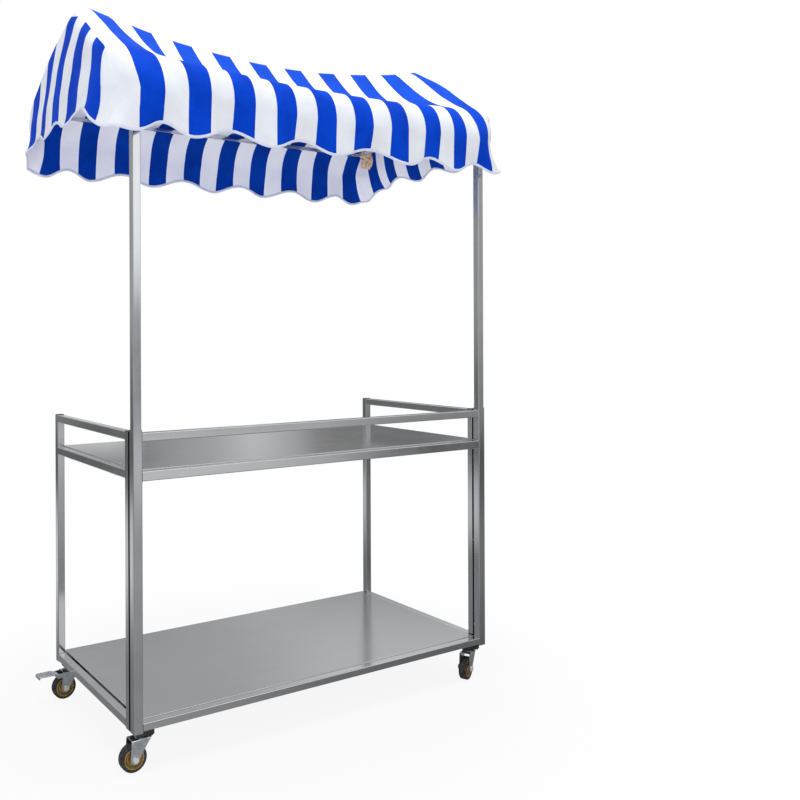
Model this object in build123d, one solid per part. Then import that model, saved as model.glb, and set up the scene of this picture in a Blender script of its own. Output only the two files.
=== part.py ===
"""Food cart: welded end frames, a front frame with mast sleeves, two sheet-metal trays, four swivel
castors and a cloth canopy on a tube frame that lifts out of the sleeves. Millimetres, +Z up.
X runs along the cart, -Y is the serving side, and the floor is at Z = 0."""
import os
from math import atan2, cos, degrees, hypot, sin

from build123d import *

# Overall sizes
CART_LENGTH = 1200.0        # outer face to outer face of the mast sleeves
CART_DEPTH = 600.0          # front face of the sleeves to the rear face of the rear posts
COUNTER_TOP = 756.0
HAND_RAIL_RISE = 95.0       # hand rails above the counter
MAST_TOP = 1761.0
DECK_CLEARANCE = 2.0        # deck's lip above the castors' gussets

# Square tubes
SLEEVE_SIZE = 25.0
SLEEVE_WALL = 1.2
SLEEVE_RISE = 6.0           # sleeves above the hand rails
MAST_CLEARANCE = 0.3        # sleeve to mast, each side
MAST_WALL = 1.2
MAST_INSERTION = 150.0
FRAME_TUBE = 22.0           # end frames and front hand rail
FRAME_TUBE_WALL = 1.2
FRONT_RAIL_DEPTH = 25.0     # front rails below the counter and at the base, front to back
COUNTER_RAIL_HEIGHT = 25.0
BASE_RAIL_HEIGHT = 20.0
FRONT_RAIL_DROP = 1.5       # front hand rail below the end hand rails
CANOPY_TUBE = 12.0
CANOPY_TUBE_WALL = 1.0
TUBE_CORNER = 2.2           # outer corner radius of the large tubes
CANOPY_TUBE_CORNER = 1.4
SMALLEST_CORNER = 0.3       # inner corner of a tube whose wall is as thick as its corner

# Trays
TRAY_SHEET = 1.2
TRAY_LIP = 24.0             # folded edge, top to bottom
TRAY_FLANGE = 16.0          # return flange under the lip
TRAY_BEND = 2.0             # outside bend radius
TRAY_REAR_INSET = 2.0       # rear lip in front of the rear posts' rear face
COUNTER_END_GAP = 0.5       # between the counter and the end rails
DECK_END_GAP = 5.0          # slot between the deck and the end rails
STIFFENER_WIDTH = 34.0
STIFFENER_HEIGHT = 18.0
STIFFENER_FLANGE = 12.0
STIFFENER_INSETS = (155.0, 158.0)   # from the tray's front and rear lips to the channel's middle
BRACKET_LENGTH = 50.0
BRACKET_LEG = 26.0          # under the tray, from the rail's inner face
BRACKET_GRIP = 14.0         # welded under the end rail
BRACKET_THICKNESS = 3.0
BRACKET_INSET = 120.0       # from the tray's front and rear lips to the bracket's middle

# Fasteners
BRACKET_SCREW = 5.0
MAST_BOLT = 6.0
MAST_BOLT_RISES = (32.0, 302.0)   # above the deck; the topmost bolt follows from the mast's foot
CASTOR_BOLT = 6.0
HOLE_CLEARANCE = 0.2        # radial, round screws and bolts
HEX_FLATS = 1.65            # width across flats of heads and nuts, in thread diameters
HEX_HEAD = 0.65             # height of a head, in thread diameters
HEX_NUT = 0.8               # height of a nut, in thread diameters
THREAD_END = 1.2            # thread beyond a nut
MAST_GAP = 7.0              # sleeve to short front post
SPACER_WIDTH = 6.0          # spacer diameter beyond the bolt
SEAT_GAP = 0.3              # between pieces that rest on each other without a weld
CAP_THICKNESS = 1.2
CAP_CHAMFER = 0.5
CAP_RIM = 0.7               # tube end left bare round a plug
CAP_PLUG = 12.0
CAP_CLEARANCE = 0.1

# Canopy
CANOPY_END_OVERHANG = 50.0  # cloth beyond the cart's ends, at the eaves
CANOPY_REAR_OVERHANG = 42.0  # cloth behind the rear posts, at the eaves
CANOPY_FLARE_X = 30.0       # hem beyond the eaves at each end
CANOPY_FLARE_Y = 36.0       # hem beyond the eaves at front and rear
EAVE_RISE = 31.0            # cloth's eaves above the masts
RIDGE_RISE = 204.0          # ridge above the eaves
HEM_DROP = 210.0            # hem below the eaves
END_HEM_RISE = 55.0         # the end skirts are shorter than the front and rear ones
END_HEM_WIDTH = 560.0
CLOTH = 2.0
ARCH_END_INSET = 29.0       # arch's outer face inside the cloth's end
EAVE_BAR_FORWARD = 1.0      # front eave bar in front of the masts
ARCH_LEG = 40.0             # straight leg below the eave bend
ARCH_BEND = 24.0
RIDGE_BEND = 80.0
TIE_WIDTH = 14.0
TIE_FROM_EAVE = 30.0        # tie's middle in front of the rear eave bar
TIE_TAILS = (46.0, 37.0)
TIE_TAIL_GAP = 2.0

# Castors
PLATE_INSET = 12.0          # castor plates inside the cart's outer faces
# Directions in which the wheels trail at rest, in degrees
CASTOR_HEADINGS = {"front_left": 181.0, "front_right": 206.0, "rear_left": 182.0, "rear_right": 190.0}
WHEEL_DIAMETER = 70.0
TYRE_WIDTH = 24.0
TYRE_THICKNESS = 8.5
TYRE_EDGE = 4.0
TREAD_BLOCKS = 30           # in each of the two staggered rows
TREAD_RIB = 5.0             # plain rib between the rows
GROOVE_WIDTH = 2.0
GROOVE_DEPTH = 1.6
CORE_FIT = 0.1
HUB_DIAMETER = 24.0
HUB_WIDTH = 29.0
HUB_CHAMFER = 1.0
RIM_WIDTH = 23.0
RIM_THICKNESS = 4.0
WEB_WIDTH = 9.0
STEP_WIDTH = 15.0           # raised ring of the web, beside the rim
STEP_THICKNESS = 3.0
TRAIL = 26.0                # swivel axis to axle
GUSSET_THICKNESS = 10.5     # welded pad between the frame and the castor's plate
PLATE_SIZE = 50.0
PLATE_THICKNESS = 3.0
PLATE_CORNER = 6.0
PLATE_BOLT_INSET = 8.0      # bolts from the plate's edges
FORK_SHEET = 2.5
HUB_SIDE_CLEARANCE = 0.5    # hub to the fork's legs
FORK_BEND = 5.0             # outer radius where the fork's top bends down into the legs
FORK_FRONT = 20.0           # top of the legs ahead of the swivel axis
FORK_REAR = 35.0            # top of the legs behind the swivel axis
FORK_BOW = 1.5              # hollow of the legs' leading edge
CROWN_RADIUS = 20.0
CROWN_CLEARANCE = 16.0      # top of the crown above the tyre
CROWN_TO_PLATE = 5.5        # height of the ball race between crown and plate
CROWN_EDGE = 1.0            # chamfer of the crown's rim
RACE_OUTER = 30.0
RACE_INNER = 16.0
RACE_DEPTH = 2.0            # ball seat below the crown's rim
KINGPIN = 10.0
KINGPIN_HEAD = 18.0
KINGPIN_HEAD_HEIGHT = 3.0
AXLE_BOLT = 8.0
BUSH = 12.0
AXLE_BOSS = 12.5            # radius of the legs' feet round the axle
RUNNING_FIT = 0.05

# Brake pedals of the rear castors
PEDAL_PIVOT_BACK = 23.0     # pedal's pin behind the axle
PEDAL_PIVOT_RISE = 4.0      # pedal's pin above the top of the tyre
PEDAL_PIN = 6.0
PEDAL_EAR = 3.0             # fork metal round the pin
PEDAL_HUB = 11.0
PEDAL_SIDE_CLEARANCE = 0.5
PEDAL_TRAVEL = 12.0         # degrees
SHOE_CLEARANCE = 0.4        # brake shoe to tyre with the pedal down
SHOE_WIDTH = 5.0
PEDAL_RISE = 3.0            # tread above the hub
PEDAL_KNEE = 12.0           # pivot to the start of the tread
PEDAL_LENGTH = 58.5         # pivot to the tip
PEDAL_WIDTH = 40.0
PEDAL_SHEET = 2.5
PEDAL_LIP = 7.5
PEDAL_CORNER = 5.0
PEDAL_RIBS = 5
RIB_WIDTH = 2.4
RIB_HEIGHT = 1.5
RIB_INSET = 4.0

# Places that follow from the sizes above
canopy_length = CART_LENGTH + 2 * CANOPY_END_OVERHANG
canopy_half_depth = (CART_DEPTH + CLOTH + CANOPY_REAR_OVERHANG) / 2
eave_height = MAST_TOP + EAVE_RISE
ridge_height = eave_height + RIDGE_RISE
hem_height = eave_height - HEM_DROP
front_face = -canopy_half_depth + CLOTH
rear_face = front_face + CART_DEPTH
side_face = CART_LENGTH / 2
mast_size = SLEEVE_SIZE - 2 * SLEEVE_WALL - 2 * MAST_CLEARANCE
mast_x = side_face - SLEEVE_SIZE / 2
mast_y = front_face + SLEEVE_SIZE / 2
hand_rail_top = COUNTER_TOP + HAND_RAIL_RISE
sleeve_top = hand_rail_top + SLEEVE_RISE
mast_foot = sleeve_top - MAST_INSERTION
sleeve_rear = front_face + SLEEVE_SIZE
post_x = side_face - FRAME_TUBE / 2
front_post_y = sleeve_rear + MAST_GAP + FRAME_TUBE / 2
rear_post_y = rear_face - FRAME_TUBE / 2
rail_inner = side_face - FRAME_TUBE
rail_below_tray = TRAY_LIP - FRAME_TUBE    # the end rails' undersides are level with the trays' lips
counter_half = rail_inner - COUNTER_END_GAP
deck_half = rail_inner - DECK_END_GAP
tray_front = sleeve_rear
tray_rear = rear_face - TRAY_REAR_INSET
stiffener_ys = (tray_front + STIFFENER_INSETS[0], tray_rear - STIFFENER_INSETS[1])
axle_height = WHEEL_DIAMETER / 2
crown_top = WHEEL_DIAMETER + CROWN_CLEARANCE
plate_bottom = crown_top + CROWN_TO_PLATE
castor_top = plate_bottom + PLATE_THICKNESS
castor_inset = PLATE_SIZE / 2 + PLATE_INSET
castor_x = side_face - castor_inset
fork_gap = HUB_WIDTH + 2 * HUB_SIDE_CLEARANCE
pedal_pivot = (TRAIL + PEDAL_PIVOT_BACK, WHEEL_DIAMETER + PEDAL_PIVOT_RISE)
pedal_tip = pedal_pivot[0] + PEDAL_LENGTH
frame_bottom = castor_top + GUSSET_THICKNESS
deck_top = frame_bottom + DECK_CLEARANCE + TRAY_LIP

parts = {}


def rounded_square(size, corner):
    return RectangleRounded(size, size, corner)


def tube_profile(size, wall, corner):
    inner_corner = max(corner - wall, SMALLEST_CORNER)
    return rounded_square(size, corner) - rounded_square(size - 2 * wall, inner_corner)


def tube_along(plane, length, size, wall, corner):
    return extrude(plane * tube_profile(size, wall, corner), amount=length)


def tube_x(start, end, y, z, size, wall, corner=TUBE_CORNER):
    return tube_along(Plane((start, y, z), x_dir=(0, 1, 0), z_dir=(1, 0, 0)), end - start, size, wall, corner)


def tube_y(start, end, x, z, size, wall, corner=TUBE_CORNER):
    return tube_along(Plane((x, start, z), x_dir=(1, 0, 0), z_dir=(0, 1, 0)), end - start, size, wall, corner)


def tube_z(start, end, x, y, size, wall, corner=TUBE_CORNER):
    return tube_along(Plane((x, y, start)), end - start, size, wall, corner)


def box_between(low, high):
    size = [top - bottom for bottom, top in zip(low, high)]
    middle = [(top + bottom) / 2 for bottom, top in zip(low, high)]
    return Pos(*middle) * Box(*size)


def rod(start, direction, length, diameter):
    return extrude(Plane(start, z_dir=direction) * Circle(diameter / 2), amount=length)


def ring(start, direction, length, outer, inner):
    return extrude(Plane(start, z_dir=direction) * (Circle(outer / 2) - Circle(inner / 2)), amount=length)


def hexagon(start, direction, length, flats):
    outline = RegularPolygon(flats / 2, 6, major_radius=False)
    return extrude(Plane(start, z_dir=direction) * outline, amount=length)


def hex_nut(start, direction, length, flats, hole):
    return hexagon(start, direction, length, flats) - rod(start, direction, length, hole)


def group(solids):
    return Compound(children=list(solids))


# Sizes of a hex head or nut for a given thread
def across_flats(thread):
    return HEX_FLATS * thread


def head_height(thread):
    return HEX_HEAD * thread


def nut_height(thread):
    return HEX_NUT * thread


# Mast bolts: one height list for the posts, the sleeves, the spacers and the bolts themselves
top_bolt_height = mast_foot - SEAT_GAP - across_flats(MAST_BOLT) / 2
mast_bolt_heights = (*(deck_top + rise for rise in MAST_BOLT_RISES), top_bolt_height)
mast_bolt_hole = MAST_BOLT + 2 * HOLE_CLEARANCE


def mast_bolt_holes(x):
    reach = MAST_GAP + FRAME_TUBE + SLEEVE_WALL
    start_y = sleeve_rear - SLEEVE_WALL
    return [rod((x, start_y, z), (0, 1, 0), reach, mast_bolt_hole) for z in mast_bolt_heights]


# End frames
def end_frame(side, sign):
    x = sign * post_x

    def post(y):
        return tube_z(frame_bottom, hand_rail_top, x, y, FRAME_TUBE, FRAME_TUBE_WALL)

    parts[f"{side}_front_post"] = post(front_post_y) - mast_bolt_holes(sign * mast_x)
    parts[f"{side}_rear_post"] = post(rear_post_y)
    rails = {
        "hand_rail": hand_rail_top,
        "counter_rail": COUNTER_TOP - rail_below_tray,
        "base_rail": deck_top - rail_below_tray,
    }
    start = front_post_y + FRAME_TUBE / 2
    end = rear_post_y - FRAME_TUBE / 2
    for name, top in rails.items():
        rail = tube_y(start, end, x, top - FRAME_TUBE / 2, FRAME_TUBE, FRAME_TUBE_WALL)
        parts[f"{side}_{name}"] = rail


# Front frame: mast sleeves and the rails between them
def front_frame():
    for side, sign in (("left", -1), ("right", 1)):
        sleeve = tube_z(frame_bottom, sleeve_top, sign * mast_x, mast_y, SLEEVE_SIZE, SLEEVE_WALL)
        parts[f"{side}_mast_sleeve"] = sleeve - mast_bolt_holes(sign * mast_x)
    end = side_face - SLEEVE_SIZE
    rail_y = tray_front - FRONT_RAIL_DEPTH / 2
    rails = {
        "front_hand_rail": (mast_y, hand_rail_top - FRONT_RAIL_DROP, FRAME_TUBE, FRAME_TUBE),
        "front_counter_rail": (rail_y, COUNTER_TOP - rail_below_tray, FRONT_RAIL_DEPTH, COUNTER_RAIL_HEIGHT),
        "front_base_rail": (rail_y, deck_top - rail_below_tray, FRONT_RAIL_DEPTH, BASE_RAIL_HEIGHT),
    }
    for name, (y, top, depth, height) in rails.items():
        outline = RectangleRounded(depth, height, TUBE_CORNER)
        walls = 2 * FRAME_TUBE_WALL
        bore = RectangleRounded(depth - walls, height - walls, TUBE_CORNER - FRAME_TUBE_WALL)
        plane = Plane((-end, y, top - height / 2), x_dir=(0, 1, 0), z_dir=(1, 0, 0))
        parts[name] = extrude(plane * (outline - bore), amount=2 * end)


# Trays: a folded sheet with lips all round and a return flange, screwed to flat brackets
bracket_ys = (tray_front + BRACKET_INSET, tray_rear - BRACKET_INSET)
screw_hole = BRACKET_SCREW + 2 * HOLE_CLEARANCE


def screw_places(half_length):
    x = half_length - TRAY_FLANGE / 2
    return [(sign * x, y) for sign in (-1, 1) for y in bracket_ys]


def tray(top, half_length):
    bottom = top - TRAY_LIP
    outside = box_between((-half_length, tray_front, bottom), (half_length, tray_rear, top))
    outside = fillet(outside.edges().filter_by(Axis.Z), TRAY_BEND)
    outside = fillet(outside.faces().sort_by(Axis.Z)[-1].edges(), TRAY_BEND)
    cavity = box_between((TRAY_SHEET - half_length, tray_front + TRAY_SHEET, bottom + TRAY_SHEET),
                         (half_length - TRAY_SHEET, tray_rear - TRAY_SHEET, top - TRAY_SHEET))
    mouth = box_between((TRAY_FLANGE - half_length, tray_front + TRAY_FLANGE, bottom),
                        (half_length - TRAY_FLANGE, tray_rear - TRAY_FLANGE, bottom + TRAY_SHEET))
    holes = [rod((x, y, bottom), (0, 0, 1), TRAY_SHEET, screw_hole) for x, y in screw_places(half_length)]
    return outside - cavity - mouth - holes


def hat_stiffener(y, top, half_length):
    half = STIFFENER_WIDTH / 2
    wide = half + STIFFENER_FLANGE
    low = top - STIFFENER_HEIGHT
    length = half_length - TRAY_FLANGE - TRAY_SHEET
    channel = box_between((-length, y - half, low), (length, y + half, top))
    inner_half = half - TRAY_SHEET
    hollow = box_between((-length, y - inner_half, low + TRAY_SHEET), (length, y + inner_half, top))
    flanges = box_between((-length, y - wide, top - TRAY_SHEET), (length, y + wide, top))
    return channel + flanges - hollow


def flat_bracket(x, y, tray_top):
    seat = tray_top - TRAY_LIP
    under = seat - BRACKET_THICKNESS
    inner = rail_inner - BRACKET_LEG
    outer = rail_inner + BRACKET_GRIP
    half = BRACKET_LENGTH / 2
    sign = 1 if x > 0 else -1
    strap = box_between((inner, y - half, under), (outer, y + half, seat))
    hole = rod((sign * x, y, under), (0, 0, 1), BRACKET_THICKNESS, screw_hole)
    bracket = strap - hole
    if sign < 0:
        bracket = mirror(bracket, about=Plane.YZ)
    return bracket


def bracket_screw(x, y, tray_top):
    under = tray_top - TRAY_LIP - BRACKET_THICKNESS
    grip = BRACKET_THICKNESS + TRAY_SHEET
    nut = nut_height(BRACKET_SCREW)
    head = hexagon((x, y, under), (0, 0, -1), head_height(BRACKET_SCREW), across_flats(BRACKET_SCREW))
    shank = rod((x, y, under), (0, 0, 1), grip + nut + THREAD_END, BRACKET_SCREW)
    nut_solid = hex_nut((x, y, under + grip), (0, 0, 1), nut, across_flats(BRACKET_SCREW), screw_hole)
    return [head + shank, nut_solid]


def trays():
    sizes = ((COUNTER_TOP, counter_half), (deck_top, deck_half))
    parts["counter_tray"] = tray(*sizes[0])
    parts["base_deck"] = tray(*sizes[1])
    stiffeners = []
    brackets = []
    screws = []
    for top, half_length in sizes:
        stiffeners += [hat_stiffener(y, top - TRAY_SHEET, half_length) for y in stiffener_ys]
        for x, y in screw_places(half_length):
            brackets.append(flat_bracket(x, y, top))
            screws += bracket_screw(x, y, top)
    parts["tray_stiffeners"] = group(stiffeners)
    parts["tray_brackets"] = group(brackets)
    parts["bracket_screws"] = group(screws)


# Bolts that hold the front frame to the end frames, and the plugs in the posts' ends
def mast_fasteners():
    bolts = []
    spacers = []
    inside_y = sleeve_rear - SLEEVE_WALL
    post_rear = front_post_y + FRAME_TUBE / 2
    nut = nut_height(MAST_BOLT)
    for sign in (-1, 1):
        x = sign * mast_x
        for z in mast_bolt_heights:
            head = hexagon((x, post_rear, z), (0, 1, 0), head_height(MAST_BOLT), across_flats(MAST_BOLT))
            shank = rod((x, inside_y - nut, z), (0, 1, 0), post_rear - inside_y + nut, MAST_BOLT)
            bolts.append(head + shank)
            half = across_flats(MAST_BOLT) / 2
            block = box_between((x - half, inside_y - nut, z - half), (x + half, inside_y, z + half))
            bolts.append(block - rod((x, inside_y - nut, z), (0, 1, 0), nut, mast_bolt_hole))
            spacer_diameter = MAST_BOLT + SPACER_WIDTH
            spacers.append(ring((x, sleeve_rear, z), (0, 1, 0), MAST_GAP, spacer_diameter, mast_bolt_hole))
    parts["mast_bolts"] = group(bolts)
    parts["mast_spacers"] = group(spacers)


def plug(x, y, z, direction, size, wall, corner):
    outward = Plane((x, y, z), z_dir=(0, 0, direction))
    inward = Plane((x, y, z), z_dir=(0, 0, -direction))
    cap = extrude(outward * rounded_square(size - 2 * CAP_RIM, corner - CAP_RIM), amount=CAP_THICKNESS)
    top_edges = cap.faces().sort_by(Axis.Z)[-1 if direction > 0 else 0].edges()
    cap = chamfer(top_edges, CAP_CHAMFER)
    stem_size = size - 2 * wall - 2 * CAP_CLEARANCE
    stem_corner = max(corner - wall, SMALLEST_CORNER)
    return cap + extrude(inward * rounded_square(stem_size, stem_corner), amount=CAP_PLUG)


def post_caps():
    places = [(sign * post_x, y) for sign in (-1, 1) for y in (front_post_y, rear_post_y)]
    parts["post_caps"] = group(
        plug(x, y, hand_rail_top, 1, FRAME_TUBE, FRAME_TUBE_WALL, TUBE_CORNER) for x, y in places)


# Canopy frame
arch_y = mast_y - mast_size / 2 - EAVE_BAR_FORWARD + CANOPY_TUBE / 2
arch_x = canopy_length / 2 - ARCH_END_INSET - CANOPY_TUBE / 2
roof_slope = atan2(ridge_height - eave_height, canopy_half_depth)
cloth_eave_half = canopy_half_depth - CLOTH / sin(roof_slope)
cloth_ridge_inside = eave_height + cloth_eave_half * (ridge_height - eave_height) / canopy_half_depth
arch_drop = (SEAT_GAP + CANOPY_TUBE / 2) / cos(roof_slope)
arch_ridge = cloth_ridge_inside - arch_drop
arch_half = -arch_y
arch_eave = arch_ridge - arch_half * (ridge_height - eave_height) / canopy_half_depth
arch_foot = arch_eave - ARCH_LEG
eave_bar_z = MAST_TOP + CANOPY_TUBE / 2
eave_end = arch_x - CANOPY_TUBE / 2


def arch(sign):
    points = [
        (sign * arch_x, -arch_half, arch_foot),
        (sign * arch_x, -arch_half, arch_eave),
        (sign * arch_x, 0, arch_ridge),
        (sign * arch_x, arch_half, arch_eave),
        (sign * arch_x, arch_half, arch_foot),
    ]
    path = FilletPolyline(*points, radius=[ARCH_BEND, RIDGE_BEND, ARCH_BEND])
    start = Plane(points[0], x_dir=(1, 0, 0), z_dir=(0, 0, 1))
    outer = sweep(start * rounded_square(CANOPY_TUBE, CANOPY_TUBE_CORNER), path=path)
    bore_size = CANOPY_TUBE - 2 * CANOPY_TUBE_WALL
    bore = sweep(start * rounded_square(bore_size, CANOPY_TUBE_CORNER - CANOPY_TUBE_WALL), path=path)
    return outer - bore


# Braces: level tubes on the masts' tops, from the front eave bar to the rear one
def brace(sign):
    start = arch_y + CANOPY_TUBE / 2
    end = arch_half - CANOPY_TUBE / 2
    return tube_y(start, end, sign * mast_x, eave_bar_z, CANOPY_TUBE, CANOPY_TUBE_WALL, CANOPY_TUBE_CORNER)


def canopy_frame():
    for side, sign in (("left", -1), ("right", 1)):
        parts[f"{side}_mast"] = tube_z(mast_foot, MAST_TOP, sign * mast_x, mast_y, mast_size, MAST_WALL)
        parts[f"{side}_arch"] = arch(sign)
        parts[f"{side}_brace"] = brace(sign)
    for name, y in (("front_eave_bar", arch_y), ("rear_eave_bar", arch_half)):
        bar = tube_x(-eave_end, eave_end, y, eave_bar_z, CANOPY_TUBE, CANOPY_TUBE_WALL, CANOPY_TUBE_CORNER)
        parts[name] = bar
    places = [(sign * arch_x, y) for sign in (-1, 1) for y in (-arch_half, arch_half)]
    parts["arch_plugs"] = group(
        plug(x, y, arch_foot, -1, CANOPY_TUBE, CANOPY_TUBE_WALL, CANOPY_TUBE_CORNER) for x, y in places)


# Canopy cloth: a gabled roof over flared skirts, open below, sewn into one cover
def tent(length, eave_half, ridge, hem_length, hem_half):
    gable = Polyline((-eave_half, eave_height), (eave_half, eave_height), (0, ridge), close=True)
    plane = Plane((-length / 2, 0, 0), x_dir=(0, 1, 0), z_dir=(1, 0, 0))
    roof = extrude(plane * make_face(gable), amount=length)
    eave_rectangle = Pos(0, 0, eave_height) * Rectangle(length, 2 * eave_half)
    hem_rectangle = Pos(0, 0, hem_height) * Rectangle(hem_length, 2 * hem_half)
    skirt = loft([hem_rectangle, eave_rectangle], ruled=True)
    return roof + skirt


def canopy_cover():
    hem_length = canopy_length + 2 * CANOPY_FLARE_X
    hem_half = canopy_half_depth + CANOPY_FLARE_Y
    outside = tent(canopy_length, canopy_half_depth, ridge_height, hem_length, hem_half)
    inside = tent(canopy_length - 2 * CLOTH, cloth_eave_half, cloth_ridge_inside,
                  hem_length - 2 * CLOTH, hem_half - CLOTH)
    short_end = box_between((-hem_length, -END_HEM_WIDTH / 2, hem_height - CLOTH),
                            (hem_length, END_HEM_WIDTH / 2, hem_height + END_HEM_RISE))
    parts["canopy_cover"] = outside - inside - short_end


# Ribbon ties: a loop round the rear of each brace with two short tails
def corner_tie(sign):
    y = arch_half - CANOPY_TUBE / 2 - TIE_FROM_EAVE
    x = sign * mast_x
    hole = CANOPY_TUBE + 2 * SEAT_GAP
    rim = hole + 2 * CLOTH
    along = Plane((x, y, eave_bar_z), x_dir=(1, 0, 0), z_dir=(0, 1, 0))
    loop = extrude(along * (Rectangle(rim, rim) - Rectangle(hole, hole)), amount=TIE_WIDTH / 2, both=True)
    low = eave_bar_z - hole / 2
    for offset, drop in zip((-TIE_WIDTH / 2, TIE_TAIL_GAP / 2), TIE_TAILS):
        start = x + offset
        end = start + (TIE_WIDTH - TIE_TAIL_GAP) / 2
        loop += box_between((start, y - CLOTH / 2, low - drop), (end, y + CLOTH / 2, low - CLOTH / 2))
    return loop


# Castors, drawn with the swivel axis on Z and the wheel trailing along +X
def spun(section):
    plane = Plane((TRAIL, 0, axle_height), x_dir=(1, 0, 0), z_dir=(0, 0, 1))
    return revolve(plane * section, axis=Axis((TRAIL, 0, axle_height), (0, 1, 0)))


def tread_grooves():
    grooves = []
    length = (TYRE_WIDTH - TREAD_RIB) / 2
    from_middle = (TREAD_RIB + length) / 2
    pitch = 360.0 / TREAD_BLOCKS
    for sign, stagger in ((-1, 0.25), (1, 0.75)):
        groove = Box(2 * GROOVE_DEPTH, length, GROOVE_WIDTH)
        groove = Pos(WHEEL_DIAMETER / 2, sign * from_middle, 0) * groove
        grooves += [Rot(0, (number + stagger) * pitch, 0) * groove for number in range(TREAD_BLOCKS)]
    return [Pos(TRAIL, 0, axle_height) * groove for groove in grooves]


def castor_wheel():
    outer = WHEEL_DIAMETER / 2
    tyre_bore = outer - TYRE_THICKNESS
    section = Pos((tyre_bore + outer) / 2, 0) * Rectangle(TYRE_THICKNESS, TYRE_WIDTH)
    section = fillet(section.vertices().sort_by(Axis.X)[-2:], TYRE_EDGE)
    core_rim = tyre_bore - CORE_FIT
    web_top = core_rim - RIM_THICKNESS
    bore = BUSH / 2 + RUNNING_FIT
    hub = HUB_DIAMETER / 2
    step = web_top - STEP_THICKNESS
    half_profile = [
        (bore, HUB_WIDTH / 2),
        (hub - HUB_CHAMFER, HUB_WIDTH / 2),
        (hub, HUB_WIDTH / 2 - HUB_CHAMFER),
        (hub, WEB_WIDTH / 2),
        (step, WEB_WIDTH / 2),
        (step, STEP_WIDTH / 2),
        (web_top, STEP_WIDTH / 2),
        (web_top, RIM_WIDTH / 2),
        (core_rim, RIM_WIDTH / 2),
    ]
    mirrored = [(r, -y) for r, y in reversed(half_profile)]
    core_section = make_face(Polyline(*half_profile, *mirrored, close=True))
    return spun(section) - tread_grooves(), spun(core_section)


seat_height = crown_top - RACE_DEPTH
fork_half = fork_gap / 2 + FORK_SHEET
pedal_hole = PEDAL_PIN + 2 * RUNNING_FIT
axle_hole = AXLE_BOLT + HOLE_CLEARANCE
side_view = Plane((0, fork_half, 0), x_dir=(1, 0, 0), z_dir=(0, -1, 0))


def fork_outline(braked):
    front_foot = (TRAIL - AXLE_BOSS, axle_height)
    rear_foot = (TRAIL + AXLE_BOSS, axle_height)
    front_top = (-FORK_FRONT, seat_height)
    rear_top = (FORK_REAR, seat_height)
    bow = ((front_foot[0] + front_top[0]) / 2 + FORK_BOW, (axle_height + seat_height) / 2)
    outline = make_face([
        Line(front_top, rear_top),
        Line(rear_top, rear_foot),
        ThreePointArc(rear_foot, (TRAIL, axle_height - AXLE_BOSS), front_foot),
        ThreePointArc(front_foot, bow, front_top),
    ])
    if braked:
        ear = PEDAL_PIN / 2 + PEDAL_EAR
        pivot_x, pivot_z = pedal_pivot
        neck = Pos((TRAIL + pivot_x) / 2, pivot_z) * Rectangle(pivot_x - TRAIL, 2 * ear)
        outline = outline + neck + Pos(*pedal_pivot) * Circle(ear)
        outline -= Pos(*pedal_pivot) * Circle(pedal_hole / 2)
    return outline - Pos(TRAIL, axle_height) * Circle(axle_hole / 2)


# Fork: one sheet bent down on both sides of the wheel, with a dished crown for the ball race
def fork(braked):
    reach = WHEEL_DIAMETER
    sheet = extrude(side_view * fork_outline(braked), amount=2 * fork_half)
    bends = sheet.faces().sort_by(Axis.Z)[-1].edges().filter_by(Axis.X)
    sheet = fillet(bends, FORK_BEND)
    between = box_between((-reach, -fork_gap / 2, 0), (2 * reach, fork_gap / 2, seat_height - FORK_SHEET))
    sheet -= fillet(between.faces().sort_by(Axis.Z)[-1].edges().filter_by(Axis.X), FORK_BEND - FORK_SHEET)
    seat_radius = RACE_OUTER / 2 + SEAT_GAP
    rim_radius = seat_radius + RACE_DEPTH
    under = seat_height - FORK_SHEET
    section = [
        (0, under),
        (0, seat_height),
        (seat_radius, seat_height),
        (rim_radius, crown_top),
        (CROWN_RADIUS - CROWN_EDGE, crown_top),
        (CROWN_RADIUS, crown_top - CROWN_EDGE),
        (CROWN_RADIUS, under),
    ]
    crown = revolve(Plane.XZ * make_face(Polyline(*section, close=True)), axis=Axis.Z)
    return sheet + crown - rod((0, 0, under), (0, 0, 1), FORK_SHEET, KINGPIN + 2 * RUNNING_FIT)


def axle_set():
    nut = nut_height(AXLE_BOLT)
    start = (TRAIL, fork_half, axle_height)
    end = (TRAIL, -fork_half, axle_height)
    flats = across_flats(AXLE_BOLT)
    bolt = hexagon(start, (0, 1, 0), head_height(AXLE_BOLT), flats)
    bolt += rod(start, (0, -1, 0), 2 * fork_half + nut + THREAD_END, AXLE_BOLT)
    lock_nut = hex_nut(end, (0, -1, 0), nut, flats, axle_hole)
    bush = ring((TRAIL, -fork_gap / 2, axle_height), (0, 1, 0), fork_gap, BUSH, axle_hole)
    return group([bolt, lock_nut, bush])


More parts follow.
